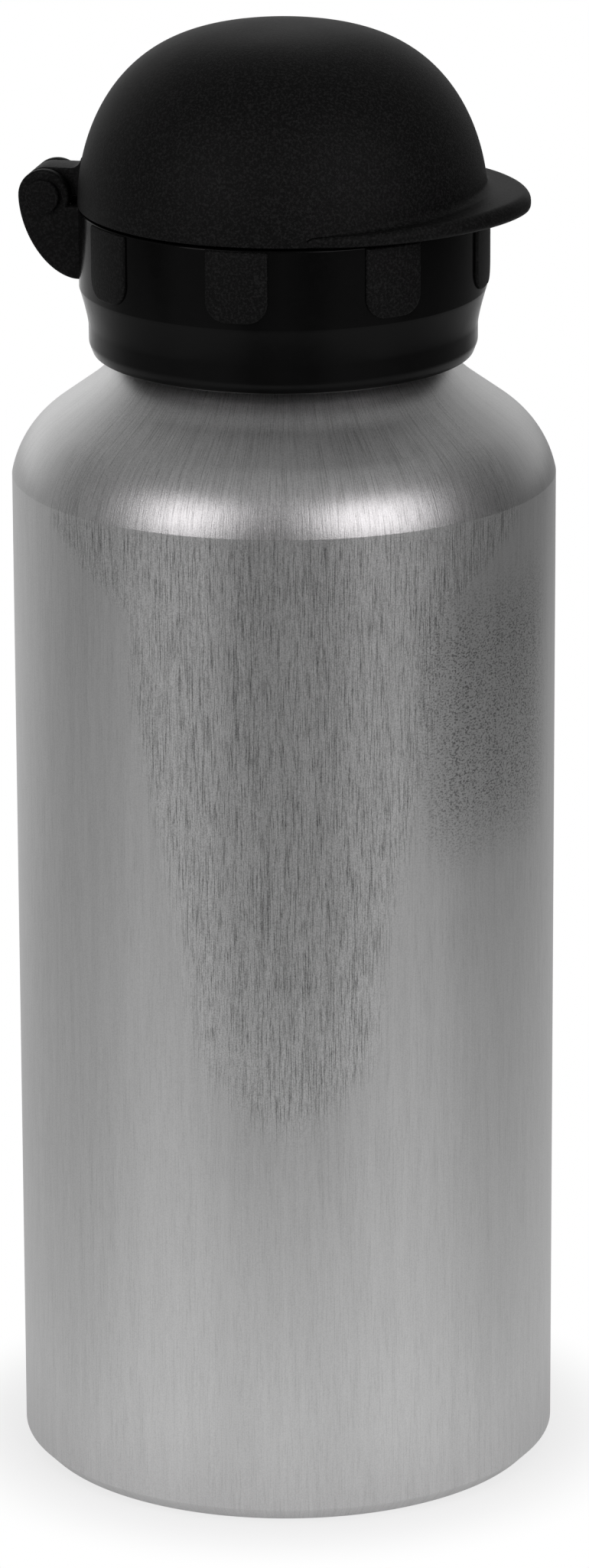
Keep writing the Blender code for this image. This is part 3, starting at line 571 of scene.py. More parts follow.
def thread(name, wall, height, low, turns):
    """A round right-handed ridge on a wall, with tapered ends. A negative height stands inwards."""
    shape = bmesh.new()
    section = bmesh.ops.create_circle(shape, segments=THREAD_STEPS, radius=THREAD_BEAD)["verts"]
    tip_over(shape, section)
    reach = wall + copysign(abs(height) - THREAD_BEAD, height)
    bmesh.ops.translate(shape, verts=section, vec=(reach, 0, low))
    steps = round(AROUND * turns)
    bmesh.ops.spin(shape, geom=section + shape.edges[:], cent=(0, 0, 0), axis=(0, 0, 1),
                   dvec=(0, 0, THREAD_PITCH * turns / steps), angle=tau * turns, steps=steps)
    for vert in shape.verts:
        part = atan2(vert.co.y, vert.co.x) / tau
        climbed = (vert.co.z - low) / THREAD_PITCH
        turn = part + round(climbed - part)
        grown = min(max(min(turn, turns - turn) / THREAD_RUN_OUT, 0.0), 1.0)
        grown = THREAD_START + (1 - THREAD_START) * grown
        level = low + THREAD_PITCH * turn
        flat = vert.co.to_2d()
        flat = flat.normalized() * (wall + (flat.length - wall) * grown)
        vert.co = (flat.x, flat.y, level + (vert.co.z - level) * grown)
    bmesh.ops.holes_fill(shape, edges=shape.edges)
    bmesh.ops.recalc_face_normals(shape, faces=shape.faces)
    return placed(name, shape)


def collar_thread_low():
    """Height of the lower end of the collar's ridge, just under the bottle's one."""
    apart = 2 * THREAD_BEAD + GAP
    bottle_middle = thread_root + THREAD_HEIGHT - THREAD_BEAD
    collar_middle = thread_crest - THREAD_OVERLAP + THREAD_BEAD
    drop = sqrt(apart ** 2 - (collar_middle - bottle_middle) ** 2)
    return bottle_thread_low - drop + THREAD_PITCH


def model_bottle():
    """The aluminium body: hollow base, wall, domed shoulder, neck, rolled lip and thread."""
    inner_radius = body_radius - BODY_WALL
    inner_corner = shoulder_corner - BODY_WALL * tan((pi / 2 - SHOULDER_SLOPE) / 2)
    sweep_middle = (SHOULDER_SLOPE + SWEEP_SLOPE) / 2
    sweep_wall = BODY_WALL / cos((SWEEP_SLOPE - SHOULDER_SLOPE) / 2)
    inner_sweep = (SWEEP_RADIUS - sweep_wall * sin(sweep_middle),
                   sweep_height - sweep_wall * cos(sweep_middle))
    waist_bore = NECK_RADIUS - BODY_WALL
    inner_end = inner_sweep[1] + (inner_sweep[0] - waist_bore) * tan(SWEEP_SLOPE)
    bend_cut = (shoulder_corner - crease_height) / (
        cos(CREASE_TURN) - sin(CREASE_TURN) * tan(SHOULDER_SLOPE))
    bend_corner = (body_radius - bend_cut * sin(CREASE_TURN),
                   crease_height + bend_cut * cos(CREASE_TURN))
    bend_radius = bend_cut / tan((pi / 2 - CREASE_TURN - SHOULDER_SLOPE) / 2)
    step_low = shoulder_end + NECK_STEP_HEIGHT
    step_high = step_low + NECK_STEP
    bead = thread_root + LIP_BEAD
    bead_foot = lip_top - LIP_HEIGHT
    ring_out = body_radius - BASE_BEVEL
    ring_in = ring_out - REST_RING_WIDTH
    corners = [
        (0.0, PUNT_DEPTH + BASE_WALL, 0.0),
        (ring_in - BASE_WALL, PUNT_RIM_DEPTH + BASE_WALL, PUNT_ROUND),
        (ring_in, BASE_WALL, INNER_RING_ROUND),
        (ring_out - BASE_WALL, BASE_WALL, INNER_RING_ROUND),
        (inner_radius, BASE_BEVEL + BASE_WALL, INNER_WALL_ROUND),
        (inner_radius, inner_corner, SHOULDER_BEND - BODY_WALL),
        (*inner_sweep, SWEEP_BEND + BODY_WALL),
        (waist_bore, inner_end, 2 * SOFT),
        (waist_bore, step_low, SOFT),
        (neck_bore, step_high, SOFT),
        (neck_bore, lip_top, LIP_BEAD),
        (bead, lip_top, LIP_BEAD),
        (bead, bead_foot, LIP_BEAD),
        (thread_root, bead_foot - LIP_BEAD, FINE),
        (thread_root, step_high, SOFT),
        (NECK_RADIUS, step_low, SOFT),
        (NECK_RADIUS, shoulder_end, 2 * SOFT),
        (SWEEP_RADIUS, sweep_height, SWEEP_BEND),
        (*bend_corner, CREASE_SHARE * bend_radius),
        (body_radius, crease_height, FINE),
        *[(body_radius, BODY_HEIGHT * share, 0.0) for share in WALL_RINGS],
        (body_radius, BASE_BEVEL, BEVEL_ROUND),
        (ring_out, 0.0, RING_ROUND),
        (ring_in, 0.0, RING_ROUND),
        (ring_in - BASE_WALL, PUNT_RIM_DEPTH, PUNT_ROUND),
        (0.0, PUNT_DEPTH, 0.0),
    ]
    bottle = turned("bottle_body", corners, closed=False)
    ridge = thread("neck_thread", thread_root, THREAD_HEIGHT, bottle_thread_low, THREAD_TURNS)
    return carve(bottle, ridge, "UNION")


def grip_pad(index):
    """One raised pad with rounded edges, bent round the collar's wall."""
    half = PAD_WIDTH / 2
    thickness = PAD_SINK + PAD_STAND_OUT
    outline = rounded([(-half, PAD_HEIGHT, 0), (-half, 0, PAD_CORNER), (half, 0, PAD_CORNER),
                       (half, PAD_HEIGHT, 0)])
    shape = slab(outline, 0.0, thickness)
    bevel(shape, [edge for edge in shape.edges if edge.calc_face_angle(0) > SHARP
                  and all(vert.co.z > thickness / 2 for vert in edge.verts)], PAD_EDGE)
    for cut in range(1, PAD_STEPS):
        everything = shape.verts[:] + shape.edges[:] + shape.faces[:]
        across = PAD_WIDTH * (cut / PAD_STEPS - 0.5)
        bmesh.ops.bisect_plane(shape, geom=everything, plane_co=(across, 0, 0), plane_no=(1, 0, 0))
    lowest = rim_top - GAP / 2 - PAD_HEIGHT
    for vert in shape.verts:
        radius = collar_radius - PAD_SINK + vert.co.z
        angle = tau * index / PAD_COUNT + vert.co.x / collar_radius
        vert.co = (radius * cos(angle), radius * sin(angle), lowest + vert.co.y)
    bmesh.ops.recalc_face_normals(shape, faces=shape.faces)
    return placed("grip_pad_%d" % index, shape)


def ear_outline():
    """Outline of a hinge ear: a disc round the pin over a fin that runs into the collar."""
    root_x = -(collar_radius - EAR_SINK)
    disc_start = asin(-(HINGE_UP + EAR_LEDGE) / EAR_RADIUS)
    outline = [(root_x, rim_top - EAR_LEDGE),
               *arc(hinge_x, hinge_z, EAR_RADIUS, disc_start, pi, CURVE_STEPS)]
    for step in range(1, CURVE_STEPS + 1):
        across, down = superellipse(HINGE_OUT + EAR_RADIUS, EAR_DROP, EAR_POWER, EAR_POWER,
                                    pi / 2 * step / CURVE_STEPS)
        outline.append((-collar_radius - across, hinge_z - down))
    outline.append((root_x, hinge_z - EAR_DROP))
    return outline


def model_collar():
    """The screw collar: skirt, inner thread, deck, plug ring, grip pads and hinge ears."""
    band_foot = rim_top - COLLAR_BAND_HEIGHT
    step_in = collar_radius - collar_foot_radius
    bore_step = band_foot - COLLAR_BORE_STEP
    corners = [(rim_bore, rim_top, SOFT), (collar_radius, rim_top, SOFT),
               (collar_radius, band_foot, SOFT)]
    for step in range(1, TAPER_STEPS + 1):
        share = step / TAPER_STEPS
        radius = collar_foot_radius + step_in * (1 - share) ** COLLAR_TAPER_POWER
        corners.append((radius, band_foot - COLLAR_TAPER_HEIGHT * share, 0.0))
    corners += [
        (collar_foot_radius, collar_foot + COLLAR_FOOT_HEIGHT, COLLAR_FOOT_ROUND),
        (collar_foot_bore + GAP, collar_foot, SOFT),
        (collar_foot_bore, collar_foot, FINE),
        (collar_foot_bore, bore_step - GAP, FINE),
        (collar_bore, bore_step, FINE),
        (collar_bore, deck_bottom, SOFT),
        (plug_ring_radius, deck_bottom, SOFT),
        (plug_ring_radius, deck_bottom - PLUG_RING_DEPTH, 2 * SOFT),
        (plug_ring_bore, deck_bottom - PLUG_RING_DEPTH, SOFT),
        (plug_ring_bore, deck_bottom, SOFT),
        (STEM_SLEEVE_RADIUS + GAP, deck_bottom, FINE),
        (STEM_SLEEVE_RADIUS + GAP, deck_top, FINE),
        (rim_bore, deck_top, 2 * SOFT),
    ]
    collar = turned("collar_moulding", corners)
    inward = -(collar_bore - thread_crest + THREAD_OVERLAP)
    ridge = thread("collar_thread", collar_bore, inward, collar_thread_low(), COLLAR_THREAD_TURNS)
    carve(collar, ridge, "UNION")

    below, above = deck_bottom - DECK_THICKNESS, deck_top + DECK_THICKNESS
    holes = [bar("vent_hole", VENT_STEM_RADIUS + GAP, below, above, (vent_x, 0, 0))]
    for index in range(AIR_HOLE_COUNT):
        angle = tau * (index + 0.5) / AIR_HOLE_COUNT
        away = VENT_BULB_RADIUS + AIR_HOLE_RADIUS + GAP
        middle = (vent_x + away * cos(angle), away * sin(angle), 0)
        holes.append(bar("air_hole", AIR_HOLE_RADIUS, below, above, middle))
    carve(collar, gather("deck_holes", holes), "DIFFERENCE")

    added = [grip_pad(index) for index in range(PAD_COUNT) if index != PAD_COUNT // 2]
    for side in (-1, 1):
        faces = sorted((side * ear_inner_face, side * ear_outer_face))
        added.append(plate("hinge_ear", ear_outline(), *faces, EAR_EDGE))
    carve(collar, gather("pads_and_ears", added), "UNION")
    pin_hole = bar("pin_hole", PIN_RADIUS + GAP, -2 * ear_outer_face, 2 * ear_outer_face,
                   (hinge_x, 0, hinge_z), along="Y")
    return carve(collar, pin_hole, "DIFFERENCE")


def peak_radius(azimuth):
    """How far the foot of the dome, or of its peak, reaches out in a direction."""
    turn = abs(azimuth)
    if turn >= PEAK_SPREAD:
        return dome_radius
    centre = dome_radius * cos(PEAK_SPREAD)
    reach = peak_tip - centre
    half_width = dome_radius * sin(PEAK_SPREAD)
    low, high = dome_radius, peak_tip * PEAK_SEARCH
    for _ in range(PEAK_HALVINGS):
        middle = (low + high) / 2
        ahead = max(middle * cos(turn) - centre, 0.0) / reach
        aside = middle * sin(turn) / half_width
        if ahead ** PEAK_POWER + aside ** PEAK_POWER > 1:
            high = middle
        else:
            low = middle
    return low


def smooth(share):
    """0 to 1 with level ends."""
    share = min(max(share, 0.0), 1.0)
    return share * share * (3 - 2 * share)


def between(start, end, count):
    """Points from start to end without start itself."""
    return [start.lerp(end, step / count) for step in range(1, count + 1)]


def side_point(level):
    """The dome's outer side at a level above its foot."""
    share = max(1 - (level / dome_height) ** DOME_TOP_POWER, 0.0)
    return Vector((dome_radius * share ** (1 / DOME_SIDE_POWER), dome_foot + level))


def lid_section(azimuth):
    """The lid's profile in one direction: over the dome, along the peak, and back inside."""
    outline = peak_radius(azimuth)
    extent = outline - dome_radius
    centre = dome_radius * cos(PEAK_SPREAD)
    share = min(max((outline * cos(azimuth) - centre) / (peak_tip - centre), 0.0), 1.0)
    thickness = PEAK_END_THICKNESS + (PEAK_TIP_THICKNESS - PEAK_END_THICKNESS) * share
    fillet = min(PEAK_FILLET, PEAK_FILLET_SHARE * extent)
    start = thickness + fillet
    side_rows, fillet_rows, top_rows, edge_rows, under_rows = 56, 7, 7, 8, 4
    foot_angle = asin((start / dome_height) ** (DOME_TOP_POWER / 2))
    points = []
    for step in range(side_rows + 1):
        angle = pi / 2 + (foot_angle - pi / 2) * step / side_rows
        across, up = superellipse(dome_radius, dome_height, DOME_SIDE_POWER, DOME_TOP_POWER, angle)
        points.append(Vector((across if step else 0.0, dome_foot + up)))

    top_edge = PEAK_TOP_EDGE * thickness
    low_edge = PEAK_LOW_EDGE * thickness
    root = points[-1]
    peak = arc(root.x + fillet, root.y, fillet, pi, 1.5 * pi, fillet_rows)[1:]
    peak += between(peak[-1], Vector((outline - top_edge, dome_foot + thickness)), top_rows)
    peak += arc(outline - top_edge, dome_foot + thickness - top_edge, top_edge, pi / 2, 0,
                edge_rows)[1:]
    peak += arc(outline - low_edge, dome_foot + low_edge, low_edge, 0, -pi / 2, edge_rows)
    inner_foot = Vector((dome_radius - 2 * DOME_FOOT_EDGE, dome_foot))
    peak += between(peak[-1], inner_foot, under_rows)

    plain = []
    down_rows = fillet_rows + top_rows + edge_rows
    for step in range(1, down_rows + 1):
        plain.append(side_point(start + (DOME_FOOT_EDGE - start) * step / down_rows))
    plain += arc(dome_radius - DOME_FOOT_EDGE, dome_foot + DOME_FOOT_EDGE, DOME_FOOT_EDGE,
                 -DOME_EDGE_START, -DOME_EDGE_START - DOME_EDGE_SHARE * pi / 2, edge_rows)
    plain += between(plain[-1], inner_foot, under_rows)
    there = smooth(extent / SOFT)
    points += [calm.lerp(grown, there) for calm, grown in zip(plain, peak)]
    return points + lid_inside()


def lid_inside():
    """The lid's profile from its foot over the spigot ring to the inner top."""
    spigot_bore = spigot_radius - SPIGOT_WALL
    inner_radius = dome_radius - DOME_WALL
    inner_height = dome_height - DOME_WALL
    corners = [(dome_radius - 2 * DOME_FOOT_EDGE, dome_foot, 0.0), (spigot_radius, dome_foot, FINE),
               (spigot_radius, spigot_foot, SOFT), (spigot_bore, spigot_foot, SOFT),
               (spigot_bore, dome_foot + DOME_FOOT_HEIGHT, SOFT)]
    start = asin(((DOME_FOOT_HEIGHT + DOME_WALL) / inner_height) ** (DOME_TOP_POWER / 2))
    for step in range(CURVE_STEPS + 1):
        angle = start + (pi / 2 - start) * step / CURVE_STEPS
        across, up = superellipse(inner_radius, inner_height, DOME_SIDE_POWER, DOME_TOP_POWER,
                                  angle)
        corners.append((across if step < CURVE_STEPS else 0.0, dome_foot + up, 0.0))
    return rounded(corners, closed=False)[1:]


def model_dome():
    """The dome lid with its peak, spigot ring, and the arm and barrel of the hinge."""
    shape, rows = spin_profile(lid_section(pi), closed=False, steps=AROUND)
    sections = {}
    for vert in shape.verts:
        azimuth = atan2(vert.co.y, vert.co.x)
        key = round(azimuth / tau * AROUND) % AROUND
        if key not in sections:
            sections[key] = lid_section(azimuth)
        radius, height = sections[key][vert[rows]]
        vert.co = (radius * cos(azimuth), radius * sin(azimuth), height)
    dome = placed("dome_moulding", shape)

    arm_top = hinge_z + EAR_RADIUS
    root = -(dome_radius - DOME_WALL * ARM_SINK)
    meet = -(side_point(arm_top - dome_foot).x)
    low_turn = -asin((hinge_z - dome_foot - FINE) / EAR_RADIUS)
    outline = [(root, dome_foot + FINE),
               *arc(hinge_x, hinge_z, EAR_RADIUS, low_turn, -1.5 * pi, ARM_STEPS),
               *arc(meet - ARM_FILLET, arm_top + ARM_FILLET, ARM_FILLET, -pi / 2, 0,
                    ARM_FILLET_STEPS),
               (root, arm_top + ARM_FILLET)]
    arm = plate("lid_arm", outline, -ARM_WIDTH / 2, ARM_WIDTH / 2, SOFT)
    carve(dome, arm, "UNION")
    bore = bar("barrel_bore", PIN_RADIUS + GAP, -ARM_WIDTH, ARM_WIDTH, (hinge_x, 0, hinge_z),
               along="Y")
    return carve(dome, bore, "DIFFERENCE")


def model_pin():
    """The hinge pin with a low rounded head at each end."""
    face = ear_outer_face + GAP
    end = face + PIN_HEAD_HEIGHT
    corners = [(0, end, 0), (PIN_HEAD_RADIUS, end, SOFT), (PIN_HEAD_RADIUS, face, 0),
               (PIN_RADIUS, face, FINE)]
    corners += [(radius, -height, edge) for radius, height, edge in reversed(corners)]
    shape = spin_profile(rounded(corners, closed=False), False, AROUND_TINY)[0]
    return stood("hinge_axle", shape, (hinge_x, 0, hinge_z), along="Y")


def model_stem():
    """The fixed stem: snap sleeve, flange, tube with its seal groove, and core pin on spokes."""
    corners = [
        (STEM_BORE_RADIUS, head_top, FINE),
        (head_radius, head_top, SOFT),
        (head_radius, groove_middle + groove_half, FINE),
        (groove_floor, groove_middle + groove_half, FINE),
        (groove_floor, groove_middle - groove_half, FINE),
        (head_radius, groove_middle - groove_half, FINE),
        (head_radius, head_bottom, FINE),
        (STEM_RADIUS, head_bottom, FINE),
        (STEM_RADIUS, flange_top, FINE),
        (flange_radius, flange_top, SOFT),
        (flange_radius, flange_bottom, SOFT),
        (STEM_SLEEVE_RADIUS, flange_bottom, FINE),
        (STEM_SLEEVE_RADIUS, snap_top, 0),
        (snap_radius, snap_top, FINE),
        (snap_radius, snap_top - STEM_SNAP_HEIGHT / 2, FINE),
        (STEM_SLEEVE_RADIUS, snap_top - STEM_SNAP_HEIGHT, FINE),
        (sleeve_bore, snap_top - STEM_SNAP_HEIGHT, FINE),
        (sleeve_bore, flange_bottom, FINE),
        (STEM_BORE_RADIUS, flange_bottom, FINE),
    ]
    stem = turned("stem_moulding", corners, steps=AROUND_SMALL)
    core_bottom = flange_top - SPOKE_HEIGHT / 2
    core_top = ceiling_bottom + PIN_CORE_RISE
    reach = (STEM_BORE_RADIUS + STEM_RADIUS) / 2
    core_corners = [(0, core_top, 0), (PIN_CORE_RADIUS, core_top, 2 * SOFT),
                    (PIN_CORE_RADIUS, core_bottom, SOFT), (0, core_bottom, 0)]
    core = turned("core_pin", core_corners, closed=False, steps=AROUND_TINY)
    for index in range(SPOKE_COUNT):
        shape = bmesh.new()
        bmesh.ops.create_cube(shape, size=1.0)
        bmesh.ops.scale(shape, verts=shape.verts,
                        vec=(reach, SPOKE_THICKNESS, SPOKE_HEIGHT - 2 * GAP))
        bmesh.ops.translate(shape, verts=shape.verts,
                            vec=(reach / 2, 0, core_bottom + SPOKE_HEIGHT / 2))
        bevel(shape, shape.edges[:], FINE, steps=BEVEL_STEPS // 2)
        turn = SPOKE_TURN + tau * index / SPOKE_COUNT
        bmesh.ops.rotate(shape, verts=shape.verts, cent=(0, 0, 0),
                         matrix=Matrix.Rotation(turn, 3, "Z"))
        carve(stem, placed("core_spoke", shape), "UNION")
    return carve(stem, core, "UNION")


def model_slider_seal():
    """The round seal in the groove of the stem's head."""
    circle = arc(groove_floor + GAP + O_RING_SECTION, groove_middle, O_RING_SECTION, 0,
                 -tau, O_RING_STEPS)
    return placed("slider_seal", spin_profile(circle[:-1], True, AROUND_SMALL)[0])


def model_slider():
    """The hard slider of the spout, with the ridge that locks its sleeve."""
    ridge_top = ridge_bottom + RIDGE_HEIGHT
    flange = spout_radius + SPOUT_FLANGE_WIDTH
    lip = STEM_RADIUS + GAP
    corners = [
        (spout_hole, spout_top, FINE),
        (spout_radius, spout_top, SPOUT_TOP_ROUND),
        (spout_radius, ridge_top, FINE),
        (ridge_radius, ridge_top - GAP, FINE),
        (ridge_radius, ridge_bottom, FINE),
        (spout_radius, ridge_bottom, FINE),
        (spout_radius, spout_flange_top, FINE),
        (flange, spout_flange_top, 2 * SOFT),
        (flange, spout_foot, 2 * SOFT),
        (lip, spout_foot, FINE),
        (lip, spout_lip_top, FINE),
        (spout_bore, spout_lip_top, FINE),
        (spout_bore, ceiling_bottom, SOFT),
        (spout_hole, ceiling_bottom, FINE),
    ]
    return turned("slider", corners, steps=AROUND_SMALL)


def model_mouthpiece():
    """The soft sleeve over the slider."""
    foot = spout_flange_top + GAP
    inner = spout_radius + GAP
    recess = ridge_radius + GAP
    outer = recess + MOUTHPIECE_WALL
    hole = spout_hole + MOUTHPIECE_HOLE_MARGIN
    top = spout_top + GAP + MOUTHPIECE_WALL
    recess_top = ridge_bottom + RIDGE_HEIGHT + GAP
    top_round = SPOUT_TOP_ROUND + GAP + MOUTHPIECE_WALL
    neck = spout_radius + GAP + MOUTHPIECE_WALL
    corners = [
        (hole, top, SOFT),
        (neck, top, top_round),
        (neck, recess_top + MOUTHPIECE_WAIST * (top - recess_top), MOUTHPIECE_WAIST_ROUND),
        (outer, recess_top, MOUTHPIECE_HIP_ROUND),
        (outer, foot, SOFT),
        (inner, foot, FINE),
        (inner, ridge_bottom - GAP, FINE),
        (recess, ridge_bottom - GAP, FINE),
        (recess, recess_top, FINE),
        (inner, recess_top, FINE),
        (inner, spout_top + GAP, SPOUT_TOP_ROUND + GAP),
        (hole, spout_top + GAP, FINE),
    ]
    return turned("soft_mouthpiece", corners, steps=AROUND_SMALL)


def model_air_valve():
    """The umbrella valve in the deck."""
    head_top_z = deck_bottom - GAP
    bulb_low = deck_top + GAP
    bulb_high = bulb_low + VENT_BULB_HEIGHT
    corners = [
        (0, bulb_high, 0),
        (VENT_STEM_RADIUS, bulb_high, 2 * SOFT),
        (VENT_BULB_RADIUS, bulb_low + VENT_BULB_HEIGHT / 3, SOFT),
        (VENT_BULB_RADIUS, bulb_low, FINE),
        (VENT_STEM_RADIUS, bulb_low, FINE),
        (VENT_STEM_RADIUS, head_top_z, FINE),
        (vent_head_radius, head_top_z, FINE),
        (vent_head_radius, head_top_z - VENT_HEAD_THICKNESS / 3, FINE),
        (VENT_BULB_RADIUS, head_top_z - VENT_HEAD_THICKNESS, SOFT),
        (0, head_top_z - VENT_HEAD_THICKNESS, 0),
    ]
    shape = spin_profile(rounded(corners, closed=False), False, AROUND_TINY)[0]
    return stood("air_valve", shape, (vent_x, 0, 0))


# Marks on the aluminium, and the wedge facing the camera where a painted reflection strengthens
# them: turns from -Y, and ramps of its height in millimetres
REFLECTION_WEDGE_TURN = radians(13)  # middle of the wedge facing the camera, the painted reflection of the dark room
REFLECTION_WEDGE_SPREADS = ((44, 64, 0.0, 0.16), (64, 112, 0.0, 0.20), (112, 124, 0.0, 0.40))
REFLECTION_WEDGE_EDGE = (1.0, 1.1)
CREASE_FADE = (123.6, 125.0, 1.0, 0.5)  # the lines are fainter above the crease
HELD_TURN = radians(63)   # middle of the patch worn by the hand
HELD_EDGE = (0.90, 0.985)
HELD_FOOT = (78, 92)
HELD_TOP = (108, 122, 1.0, 0.0)


def satin_aluminium():
    """Bare drawn aluminium: streaks along the wall and over the shoulder, grain, faint stains, and a
    painted reflection that strengthens them and lightens the metal facing the camera.
    """
    made = Finish("satin_aluminium", {"Metallic": 1.0})
    place = made.place()
    x, y, z = made.split(place)
    outward = made.node("VectorMath", {"operation": "NORMALIZE"}, {0: made.join(x, y, 0.0)})

    def drawn(across, along):
        """A place whose first two numbers run round the bottle, and the third runs along it."""
        wide = body_radius * MM * across
        return made.node("VectorMath", {"operation": "MULTIPLY_ADD"},
                         {0: outward, 1: (wide, wide, 0.0), 2: made.join(0.0, 0.0, z * along)})

    def facing(turn):
        """How squarely the wall faces a direction, given as its turn from -Y."""
        return made.node("VectorMath", {"operation": "DOT_PRODUCT"},
                         {0: outward, 1: (sin(turn), -cos(turn), 0.0)}, output=1)

    broad = made.noise(drawn(0.9, 0.05), 1.0, 3.0)
    streaks = made.noise(drawn(8.0, 0.25), 1.0)
    hairs = made.noise(drawn(11.0, 0.9), 1.0)
    grain = made.noise(place, 6.0, 2.0, 0.65)
    rubs = made.noise(drawn(3.2, 5.0), 1.0, 2.0, 0.65)
    clouds = made.noise(place, 0.045, 3.0, 0.55)
    squarely = facing(REFLECTION_WEDGE_TURN)
    spread = sum(z.ramp(*wider) for wider in REFLECTION_WEDGE_SPREADS)
    # Painted reflection: the wedge facing the camera, widening upwards, where the metal mirrors the
    # dark room; the streaks, scratches and specks are drawn stronger there
    painted_reflection_wedge = (squarely * squarely + spread).ramp(*REFLECTION_WEDGE_EDGE) * z.ramp(*CREASE_FADE)
    held_side = facing(HELD_TURN).ramp(*HELD_EDGE) * z.ramp(*HELD_FOOT) * z.ramp(*HELD_TOP)
    lines = streaks.ramp(0.34, 0.52, 1.0, 0.0) * clouds.ramp(0.20, 0.50) * (0.12 + 0.40 * painted_reflection_wedge)
    scratches = hairs.ramp(0.36, 0.56, 0.25, 0.0) * painted_reflection_wedge
    specks = grain.ramp(0.38, 0.58, 1.0, 0.0) * (0.12 + 0.16 * painted_reflection_wedge)
    rubbed = rubs.ramp(0.36, 0.52, 0.86, 0.16) * held_side
    # The marks darken the metal; their extra strength in the wedge facing the camera is painted
    # reflection
    marks_and_painted_reflection = lines + scratches + specks + rubbed + broad.ramp(0.3, 0.7, 0.08, 0.0)
    # Painted light: the bare metal's colour is lighter in the wedge facing the camera
    bright = made.blend(painted_reflection_wedge, grey(0.72), grey(0.83))
    height = streaks * 0.5 + hairs * 0.25 + grain * 0.35
    return made.covered(made.blend(marks_and_painted_reflection, bright, grey(0.20)), 0.27 + 0.08 * broad + 0.10 * grain,
                        height, 0.00003)


def matte_black():
    """Grained black moulding."""
    made = Finish("matte_black", {"Metallic": 0.0, "Specular IOR Level": 0.13})
    place = made.place()
    grain = made.noise(place, 3.4, 3.0, 0.65)
    fine = made.noise(place, 9.0)
    clouds = made.noise(place, 0.10, 3.0, 0.55)
    return made.covered(made.blend(grain.ramp(0.44, 0.66), grey(0.0012), grey(0.0085)),
                        0.52 + 0.10 * clouds, grain * 0.7 + fine * 0.3, 0.00005)


def gloss_black():
    """Polished black moulding with faint handling marks."""
    made = Finish("gloss_black", {"Metallic": 0.0, "Specular IOR Level": 0.12})
    place = made.place()
    marks = made.noise(place, 0.6, 4.0, 0.7)
    waves = made.noise(place, 0.25, 2.0, 0.5)
    return made.covered(made.blend(marks, grey(0.0010), grey(0.0020)),
                        marks.ramp(0.35, 0.75, 0.13, 0.22), waves, 0.00002)


def moulded(name, colours, roughness, spread, scale, depth, cloud_scale=None):
    """Fine-grained plastic or rubber between two colours, with a spread of roughness."""
    made = Finish(name, {"Metallic": 0.0})
    place = made.place()
    grain = made.noise(place, scale)
    tint = made.noise(place, cloud_scale, 2.0, 0.5) if cloud_scale else grain
    return made.covered(made.blend(tint, *colours), roughness + spread * grain, grain, depth)


def settle(piece, body, node, material):
    """Put a piece in the place of its node, with its material."""
    piece.data.materials.clear()
    piece.data.materials.append(material)
    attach(piece, body)
    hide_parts(node)
    return piece


# Camera
CAMERA_TURN = radians(13)
CAMERA_AWAY = 0.8970
CAMERA_HEIGHT = 0.3608
CAMERA_DIP = radians(17.123)
CAMERA_ASIDE = radians(0.0706)
CAMERA_ROLL = radians(-0.25)
CAMERA_LENS = 175.22

aluminium = satin_aluminium()
matte = matte_black()
gloss = gloss_black()
grey_moulding = moulded("grey_plastic", (grey(0.27), grey(0.33)), 0.34, 0.12, 5.0, 0.00001)
pale_rubber = moulded("pale_silicone", (grey(0.50, 0.01), grey(0.58, 0.01)), 0.46, 0.14, 6.0,
                      0.000012, cloud_scale=0.3)
dark_rubber = moulded("black_rubber", (grey(0.010), grey(0.018)), 0.60, 0.15, 7.0, 0.000012)

settle(model_bottle(), "bottle", "bottle_shell", aluminium)
neck_seal = flat_ring("neck_seal", plug_ring_radius + GAP, collar_bore - GAP, gasket_bottom,
                      gasket_top)
settle(neck_seal, "cap_lift", "neck_gasket", pale_rubber)
collar = settle(model_collar(), "cap", "screw_collar", gloss)
settle(model_stem(), "cap", "spout_stem", grey_moulding)
stem_seal = flat_ring("stem_seal", STEM_SLEEVE_RADIUS + GAP, flange_radius, stem_gasket_bottom,
                      stem_gasket_top, AROUND_SMALL)
settle(stem_seal, "cap", "stem_gasket", dark_rubber)
settle(model_slider_seal(), "cap", "spout_o_ring", dark_rubber)
settle(model_air_valve(), "cap", "vent_valve", pale_rubber)
settle(model_pin(), "cap", "hinge_pin", matte)
settle(model_slider(), "spout", "pull_spout", grey_moulding)
settle(model_mouthpiece(), "spout", "mouthpiece", pale_rubber)
settle(model_dome(), "lid", "dome_lid", matte)

collar.data.materials.append(matte)
for face in collar.data.polygons:
    grained = hypot(face.center.x, face.center.y) > collar_radius + GRAINED_OUT
    face.material_index = 1 if grained else 0

view = bpy.data.cameras.new("camera")
view.lens = CAMERA_LENS
view.clip_start = 0.05
view.clip_end = 20
camera = bpy.data.objects.new("camera", view)
scene.collection.objects.link(camera)
camera.matrix_world = (
    Matrix.Translation((CAMERA_AWAY * sin(CAMERA_TURN), -CAMERA_AWAY * cos(CAMERA_TURN),
                        CAMERA_HEIGHT))
    @ Matrix.Rotation(CAMERA_TURN - CAMERA_ASIDE, 4, "Z")
    @ Matrix.Rotation(pi / 2 - CAMERA_DIP, 4, "X")
    @ Matrix.Rotation(CAMERA_ROLL, 4, "Z"))
scene.camera = camera

# Studio lamps
LAMP_AWAY = 0.80
LAMP_HEIGHT = 0.50
LAMP_UP = radians(26)
LAMP_RADIANCE = 1.85
LAMP_TINT = (1.0, 0.965, 0.985)
LEFT_WIDTH = 0.42
LEFT_ASIDE = radians(-43)
RIGHT_WIDTH = 0.58
RIGHT_ASIDE = radians(39)
AIM = Vector((0, 0, 0.09))

